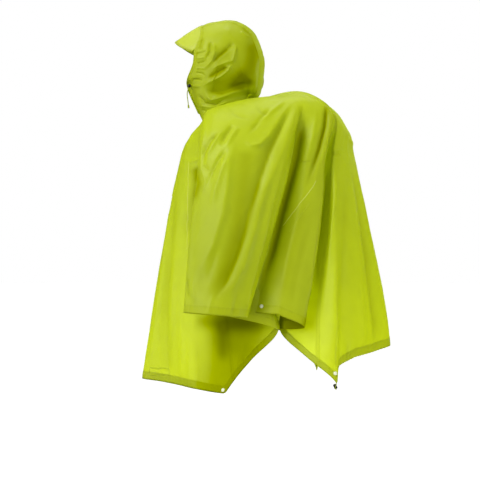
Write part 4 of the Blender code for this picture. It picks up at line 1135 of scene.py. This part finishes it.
def build_peak(look):
    """The peak: a stiff sheet from the hood's front edge to its rim, with a bound, stitched edge."""
    columns = 121
    rim = np.array(PEAK_RIM, float) * MM
    half = np.linspace(0, 1, columns // 2 + 1)
    rim = hermite(np.linspace(0, 1, len(rim)), rim, half)
    corner = strip_edge(19)[0]
    share = np.linspace(0, 1, 20)
    arch = STRIP_CROWN * (1 - share**2)
    middle = np.stack([corner[0] * share, corner[1] - 0.4 * arch, corner[2] + arch], axis=1)
    down = hood_at(0.0, np.linspace(STATIONS - 1, PEAK_END_STATION, 30)[1:])
    root = np.concatenate([middle, down])
    run = lengths(root)
    # The root's columns meet the rim's in the same shares as the frame's solid has them.
    knots = np.concatenate([np.linspace(0, run[19], 3), np.linspace(run[19], run[-1], 5)[1:]])
    at = np.interp(half, np.linspace(0, 1, 7), knots)
    root = np.stack([np.interp(at, run, root[:, k]) for k in range(3)], axis=1)
    root[:, 1] -= 0.0004
    both_root, both_rim = (np.concatenate([line[:0:-1] * MIRROR, line]) for line in (root, rim))
    out = np.linspace(0, 1, 34)[None, :, None]
    points = both_root[:, None, :] * (1 - out) + both_rim[:, None, :] * out
    points[:, :, 2] += 0.003 * (out * (1 - out) * 4)[:, :, 0]
    normals = -grid_normals(points)
    normals *= np.sign(normals[columns // 2, 10, 2])
    edge = runs_along(points, 1)
    edge = edge[:, -1:] - edge
    across = runs_along(points, 0)
    # A slightly uneven sheet, thicker at its bound rim.
    relief = 0.0009 * crinkle(across, edge, 0.03, 41)
    relief *= smooth_step(0.0, 0.008, edge[:, :1] - edge)
    thick = 0.0009 + 0.0006 * smooth_step(0.006, 0.0035, edge)
    top = points + (relief + thick)[..., None] * normals
    under = points + (relief - thick)[..., None] * normals
    both = np.concatenate([top, under[:, ::-1]], axis=1)
    rows = both.shape[1]
    edges = np.concatenate([edge, edge[:, ::-1]], axis=1)
    u = np.concatenate([across, across[:, ::-1]], axis=1)
    uv = np.stack([u, edges], axis=-1)
    index = np.arange(columns * rows).reshape(columns, rows)
    ring = np.concatenate([index, index[:, :1]], axis=1)
    corners = [ring[:-1, :-1], ring[:-1, 1:], ring[1:, 1:], ring[1:, :-1]]
    quads = np.stack(corners, axis=-1).reshape(-1, 4)
    facing = np.cross(top[60, 1] - top[60, 0], top[61, 0] - top[60, 0]) @ normals[60, 0]
    faces = (quads if facing > 0 else quads[:, ::-1]).tolist()
    caps = [index[0].tolist(), index[-1, ::-1].tolist()]
    faces += [cap[::-1] for cap in caps] if facing > 0 else caps
    shown = np.where(edges < 0.02, edges * 1.0, 1.0)
    return add_mesh("hood_peak_cloth", both, faces, uv, look, {"edge": shown + 0.0195, "seam": edges})


# ---------------------------------------------------------------- operators


def fit(obj, node=None):
    """Puts a piece on the part's one body, in place of its solid if it has one."""
    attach(obj, "root")
    if node:
        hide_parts(node)
    return obj


class PonchoSizes(bpy.types.PropertyGroup):
    """Sizes and colours of the poncho's finish."""

    light: bpy.props.StringProperty(
        name="Light cloth", description="Hex colour of the cloth", default="#B4C200"
    )
    dark: bpy.props.StringProperty(
        name="Dark cloth", description="Hex colour of the cloth where its coat is thicker", default="#A8B500"
    )
    # The colour that the painted shade mixes towards.
    painted_shade_colour: bpy.props.StringProperty(
        name="Painted shade colour", description="Hex colour of the painted shade", default="#666C00"
    )
    hem: bpy.props.StringProperty(
        name="Hem", description="Hex colour where cloth is doubled", default="#A6B300"
    )
    translucent: bpy.props.FloatProperty(
        name="Translucence", description="Share of light through single cloth", default=0.4, min=0, max=1
    )
    hem_depth: bpy.props.FloatProperty(
        name="Hem depth", description="Depth of the turned-in hem", default=0.025, unit="LENGTH"
    )
    crinkle: bpy.props.FloatProperty(
        name="Crinkle", description="Height of the cloth's crumpled relief", default=0.0009, unit="LENGTH"
    )
    snap_radius: bpy.props.FloatProperty(
        name="Press stud radius", description="Radius of a press stud's cap", default=0.0055, unit="LENGTH"
    )
    cord_diameter: bpy.props.FloatProperty(
        name="Cord diameter", description="Diameter of the hood's drawcord", default=0.0028, unit="LENGTH"
    )


class PONCHO_OT_body(bpy.types.Operator):
    """Drapes the front, back and side panels with their hems and sewn lines"""

    bl_idname = "poncho.body"
    bl_label = "Body cloth"

    def execute(self, context):
        nylon, tape = looks()[0], looks()[-1]
        front, back = (place(name) + share for name, share in SEAMS)
        pieces = (
            ("front_cloth", "front_panel", -front, front, (1.02, 0.92), 0.56),
            ("side_cloth_left", "side_panel_left", front, back, (1.3, 0.9), 0.65),
            ("back_cloth", "back_panel", back, WHOLE - back, (0.95, 1.05), 0.51),
            ("side_cloth_right", "side_panel_right", WHOLE - back, WHOLE - front, (1.3, 0.9), 0.65),
        )
        for name, node, first, last, flat, area in pieces:
            obj, cloth, grid = build_panel(name, first, last, nylon)
            fit(obj, node)
            for number, (layer, taped, line) in enumerate(STITCHED_LINES):
                owner = {"rear": "side_cloth_left", "front": "front_cloth"}[layer]
                if owner == name:
                    thread = tape if taped else nylon
                    made = stitched_line(f"sewn_line_{number}", cloth, grid, layer, line, thread)
                    fit(made)
        return {"FINISHED"}


class PONCHO_OT_hood(bpy.types.Operator):
    """Drapes the hood's two sides and crown strip, its face hem and its peak"""

    bl_idname = "poncho.hood"
    bl_label = "Hood"

    def execute(self, context):
        nylon, stiff = looks()[:2]
        hem = build_face_hem(nylon)
        left = build_hood_side("hood_cloth_left", False, nylon)
        right = build_hood_side("hood_cloth_right", True, nylon)
        strip = build_crown_strip(nylon)
        peak = build_peak(stiff)
        for obj, node, slot in (
            (left, "hood_left", "coated_nylon"),
            (right, "hood_right", "coated_nylon"),
            (strip, "hood_crown_strip", "coated_nylon"),
            (peak, "hood_peak", "coated_nylon_hem"),
        ):
            fit(obj, node)
        fit(hem)
        return {"FINISHED"}


class PONCHO_OT_front(bpy.types.Operator):
    """Lays the placket over the front and the flap over the collar"""

    bl_idname = "poncho.front"
    bl_label = "Placket and collar flap"

    def execute(self, context):
        nylon = looks()[0]
        places = np.mod(np.linspace(-0.22, 0.22, 17), WHOLE)
        bottom = np.interp(0, PLACES, CUTS)
        levels = np.linspace(0.37, 9 / 15 * bottom, 140)
        grid, down = places[:, None] + 0 * levels[None], levels[None] + 0 * places[:, None]
        normals = body_normal(np.where(grid > LAST, grid, grid + 0.02), down)
        across = np.linspace(-1, 1, 17)
        puff = 0.0022 + 0.0008 * (1 - across**6)[:, None] + 0.0005 * crinkle(grid, down / 6, 0.03, 51)
        points = body_at(grid, down) + (body_relief(grid, down)[0] + puff)[..., None] * normals
        run, wide = runs_along(points, 1), runs_along(points, 0)
        seam = np.minimum(wide, wide[-1:] - wide)
        uv = np.stack([run, wide], axis=-1)
        placket = add_grid("front_placket_cloth", points, uv, nylon, {"edge": np.ones(run.shape), "seam": seam})
        middle = hood_at(0.0, np.linspace(2.0, 0.4, 70))
        width = np.linspace(-0.013, 0.013, 21)
        flap = np.empty((21, 70, 3))
        flap[..., 0] = width[:, None]
        flap[..., 1] = middle[None, :, 1] - 0.0034 + (width[:, None] ** 2) / 0.06
        flap[..., 2] = middle[None, :, 2]
        flap[..., 1] -= 0.0006 * crinkle(width[:, None] + 0 * flap[..., 2], flap[..., 2], 0.02, 61)
        wide = np.minimum(width + 0.013, 0.013 - width)[:, None] + 0 * flap[..., 2]
        uv = np.stack([flap[..., 2], width[:, None] + 0 * flap[..., 2]], axis=-1)
        collar = add_grid("collar_flap_cloth", flap, uv, nylon, {"edge": np.ones(wide.shape), "seam": wide})
        for obj, node, flat in (
            (placket, "front_placket", (0.03, 0.25)),
            (collar, "collar_flap", (0.027, 0.09)),
        ):
            fit(obj, node)
        return {"FINISHED"}


class PONCHO_OT_fittings(bpy.types.Operator):
    """Sets the press studs, the drawcord with its lock and end, and the corner toggle"""

    bl_idname = "poncho.fittings"
    bl_label = "Fittings"

    def execute(self, context):
        _, stiff, white, black, braid, _ = looks()
        sizes = context.scene.poncho
        for name, node in sorted(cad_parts.items()):
            if name.startswith("snap_"):
                self.stud(name, node, sizes.snap_radius, white)
        cord = hermite(np.arange(len(CORD_POINTS)), np.array(CORD_POINTS, float) * MM, np.linspace(0, 6, 30))
        half = sizes.cord_diameter / 2
        rope = tube("drawcord", cord, half, half, braid)
        fit(rope, "hood_drawcord")
        up, down = cord[0] - cord[1], cord[-1] - cord[-2]
        up, down = unit(up), unit(down)
        lock = lathe(
            "cord_lock",
            LOCK_PROFILE,
            cord[0] + up * 0.0058, up, black,
        )
        fit(lock, "hood_cord_lock")
        end = lathe(
            "cord_end",
            END_PROFILE,
            cord[-1] + down * 0.0053, down, stiff,
        )
        fit(end, "hood_cord_end")
        low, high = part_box("corner_toggle")
        middle = (np.array(low) + np.array(high)) / 2
        toggle = lathe(
            "corner_toggle_barrel",
            TOGGLE_PROFILE,
            middle, (0.001, -0.43, 0.9), black,
        )
        fit(toggle, "corner_toggle")
        corner = body_at(place("back_corner"), CUTS[place("back_corner")])
        loop = tube("corner_loop", self.loop(corner, middle), 0.0011, 0.0007, braid)
        fit(loop)
        return {"FINISHED"}

    def loop(self, corner, middle):
        """The toggle's loop: from inside the corner out, round the toggle's waist and back to the corner."""
        out = np.array([1.0, 0.0, 0.0])
        points = (
            corner + (-0.001, -0.004, 0.010),
            corner + (0.002, -0.001, 0.000),
            middle + out * 0.0048 + (0.0, 0.002, 0.002),
            middle + out * 0.0052 + (0.0, 0.0, -0.004),
            middle + out * 0.0010 + (0.0, 0.003, -0.009),
            middle - out * 0.0050 + (0.0, 0.001, -0.004),
            middle - out * 0.0048 + (0.0, 0.002, 0.003),
            corner + (-0.003, -0.001, 0.001),
            corner + (-0.003, -0.004, 0.010),
        )
        points = np.array(points)
        return hermite(np.arange(len(points)), points, np.linspace(0, len(points) - 1, 60))

    def stud(self, name, node, radius, look):
        """A press stud's cap: a domed disc with a rolled rim and a dimple, on the frame's own foot."""
        count = len(node.data.vertices)
        flat = np.empty(count * 3, np.float32)
        node.data.vertices.foreach_get("co", flat)
        points = flat.reshape(-1, 3).astype(float)
        centre = points.mean(axis=0)
        _, _, turn = np.linalg.svd(points - centre)
        axis = turn[2]
        spread = (points - centre) @ axis
        wide = np.linalg.norm((points - centre) - spread[:, None] * axis, axis=1)
        foot = spread[wide > 0.9 * wide.max()].mean()
        if foot > spread.mean():
            axis = -axis
        base = centre + axis * min((points - centre) @ axis)
        r = radius / MM
        profile = [(share * r, height) for share, height in STUD_PROFILE]
        made = lathe(name.replace("snap_", "stud_"), profile, base, axis, look)
        fit(made, name)


class PONCHO_OT_stage(bpy.types.Operator):
    """Sets the floor, the light and the camera"""

    bl_idname = "poncho.stage"
    bl_label = "Stage"

    def execute(self, context):
        scene = context.scene
        scene.view_settings.view_transform = "Standard"
        made, _, shader, _ = new_material("matt_white_paint")
        shader.inputs["Base Color"].default_value = linear("#FAFAF8")
        shader.inputs["Roughness"].default_value = 0.9
        shader.inputs["Emission Color"].default_value = linear("#FFFFFF")
        shader.inputs["Emission Strength"].default_value = 0.45
        angle = np.linspace(0, 2 * math.pi, FLOOR_SIDES, endpoint=False)
        x, y = FLOOR_RADIUS * np.cos(angle), FLOOR_RADIUS * np.sin(angle)
        rim = np.stack([x, y, 0 * angle + FLOOR_Z], axis=1)
        floor = add_mesh("floor", rim, [list(range(FLOOR_SIDES))], rim[:, :2], made)
        floor.visible_diffuse = False
        floor.visible_glossy = False
        world = bpy.data.worlds.new("studio")
        scene.world = world
        world.use_nodes = True
        tree = world.node_tree
        sky = tree.nodes["Background"]
        sky.inputs[0].default_value = (1.0, 1.0, 1.0, 1.0)
        path, where = add_node(tree, "LightPath"), add_node(tree, "TexCoord")
        split = add_node(tree, "SeparateXYZ", {0: where.outputs["Generated"]})
        level = ranged(tree, split.outputs[2], (-0.5, 0.6), (0.36, 0.66))
        # The room is dim in the cloth's gloss, so that only the lamps show there.
        for ray, other in (("Is Glossy Ray", 0.0), ("Is Camera Ray", 1.0)):
            inputs = {"Factor": path.outputs[ray], "A": level, "B": other}
            level = add_node(tree, "Mix", inputs).outputs["Result"]
        tree.links.new(level, sky.inputs[1])
        for name, place_at, size, power, lights, shines in LAMPS:
            data = bpy.data.lights.new(name, "AREA")
            data.shape = "ELLIPSE"
            data.size, data.size_y = size
            data.energy = power
            lamp = bpy.data.objects.new(name, data)
            lamp.visible_diffuse = lights
            lamp.visible_transmission = lights
            lamp.visible_glossy = shines
            scene.collection.objects.link(lamp)
            lamp.location = place_at
            aim = LAMP_AIM - np.array(place_at)
            tilt = math.atan2(math.hypot(aim[0], aim[1]), -aim[2])
            lamp.rotation_euler = (tilt, 0, math.atan2(-aim[0], aim[1]))
        camera = bpy.data.cameras.new("camera")
        camera.sensor_width = SENSOR_WIDTH
        camera.lens = SENSOR_WIDTH * ELEVATION_DISTANCE / (ELEVATION_SIZE * ELEVATION_STEP)
        camera.clip_end = 100.0
        view = bpy.data.objects.new("camera", camera)
        scene.collection.objects.link(view)
        sine, cosine = math.sin(ELEVATION_TURN), math.cos(ELEVATION_TURN)
        across, height = ELEVATION_MIDDLE
        view.location = (
            across * cosine + ELEVATION_DISTANCE * sine,
            across * sine - ELEVATION_DISTANCE * cosine,
            height,
        )
        view.rotation_euler = (math.pi / 2, 0, ELEVATION_TURN)
        scene.camera = view
        return {"FINISHED"}


class PONCHO_PT_panel(bpy.types.Panel):
    """Lists the poncho's pieces and sizes"""

    bl_label = "Rain poncho"
    bl_idname = "PONCHO_PT_panel"
    bl_space_type = "VIEW_3D"
    bl_region_type = "UI"
    bl_category = "Poncho"

    def draw(self, context):
        for name in PonchoSizes.__annotations__:
            self.layout.prop(context.scene.poncho, name)
        for operator in OPERATORS:
            self.layout.operator(operator.bl_idname)


OPERATORS = (PONCHO_OT_stage, PONCHO_OT_fittings, PONCHO_OT_body, PONCHO_OT_hood, PONCHO_OT_front)


def register():
    for made in (PonchoSizes, *OPERATORS, PONCHO_PT_panel):
        bpy.utils.register_class(made)
    bpy.types.Scene.poncho = bpy.props.PointerProperty(type=PonchoSizes)


def unregister():
    del bpy.types.Scene.poncho
    for made in (PONCHO_PT_panel, *OPERATORS[::-1], PonchoSizes):
        bpy.utils.unregister_class(made)


def main():
    register()
    bpy.ops.poncho.stage()
    bpy.ops.poncho.fittings()
    bpy.ops.poncho.body()
    bpy.ops.poncho.hood()
    bpy.ops.poncho.front()


if __name__ == "__main__":
    main()
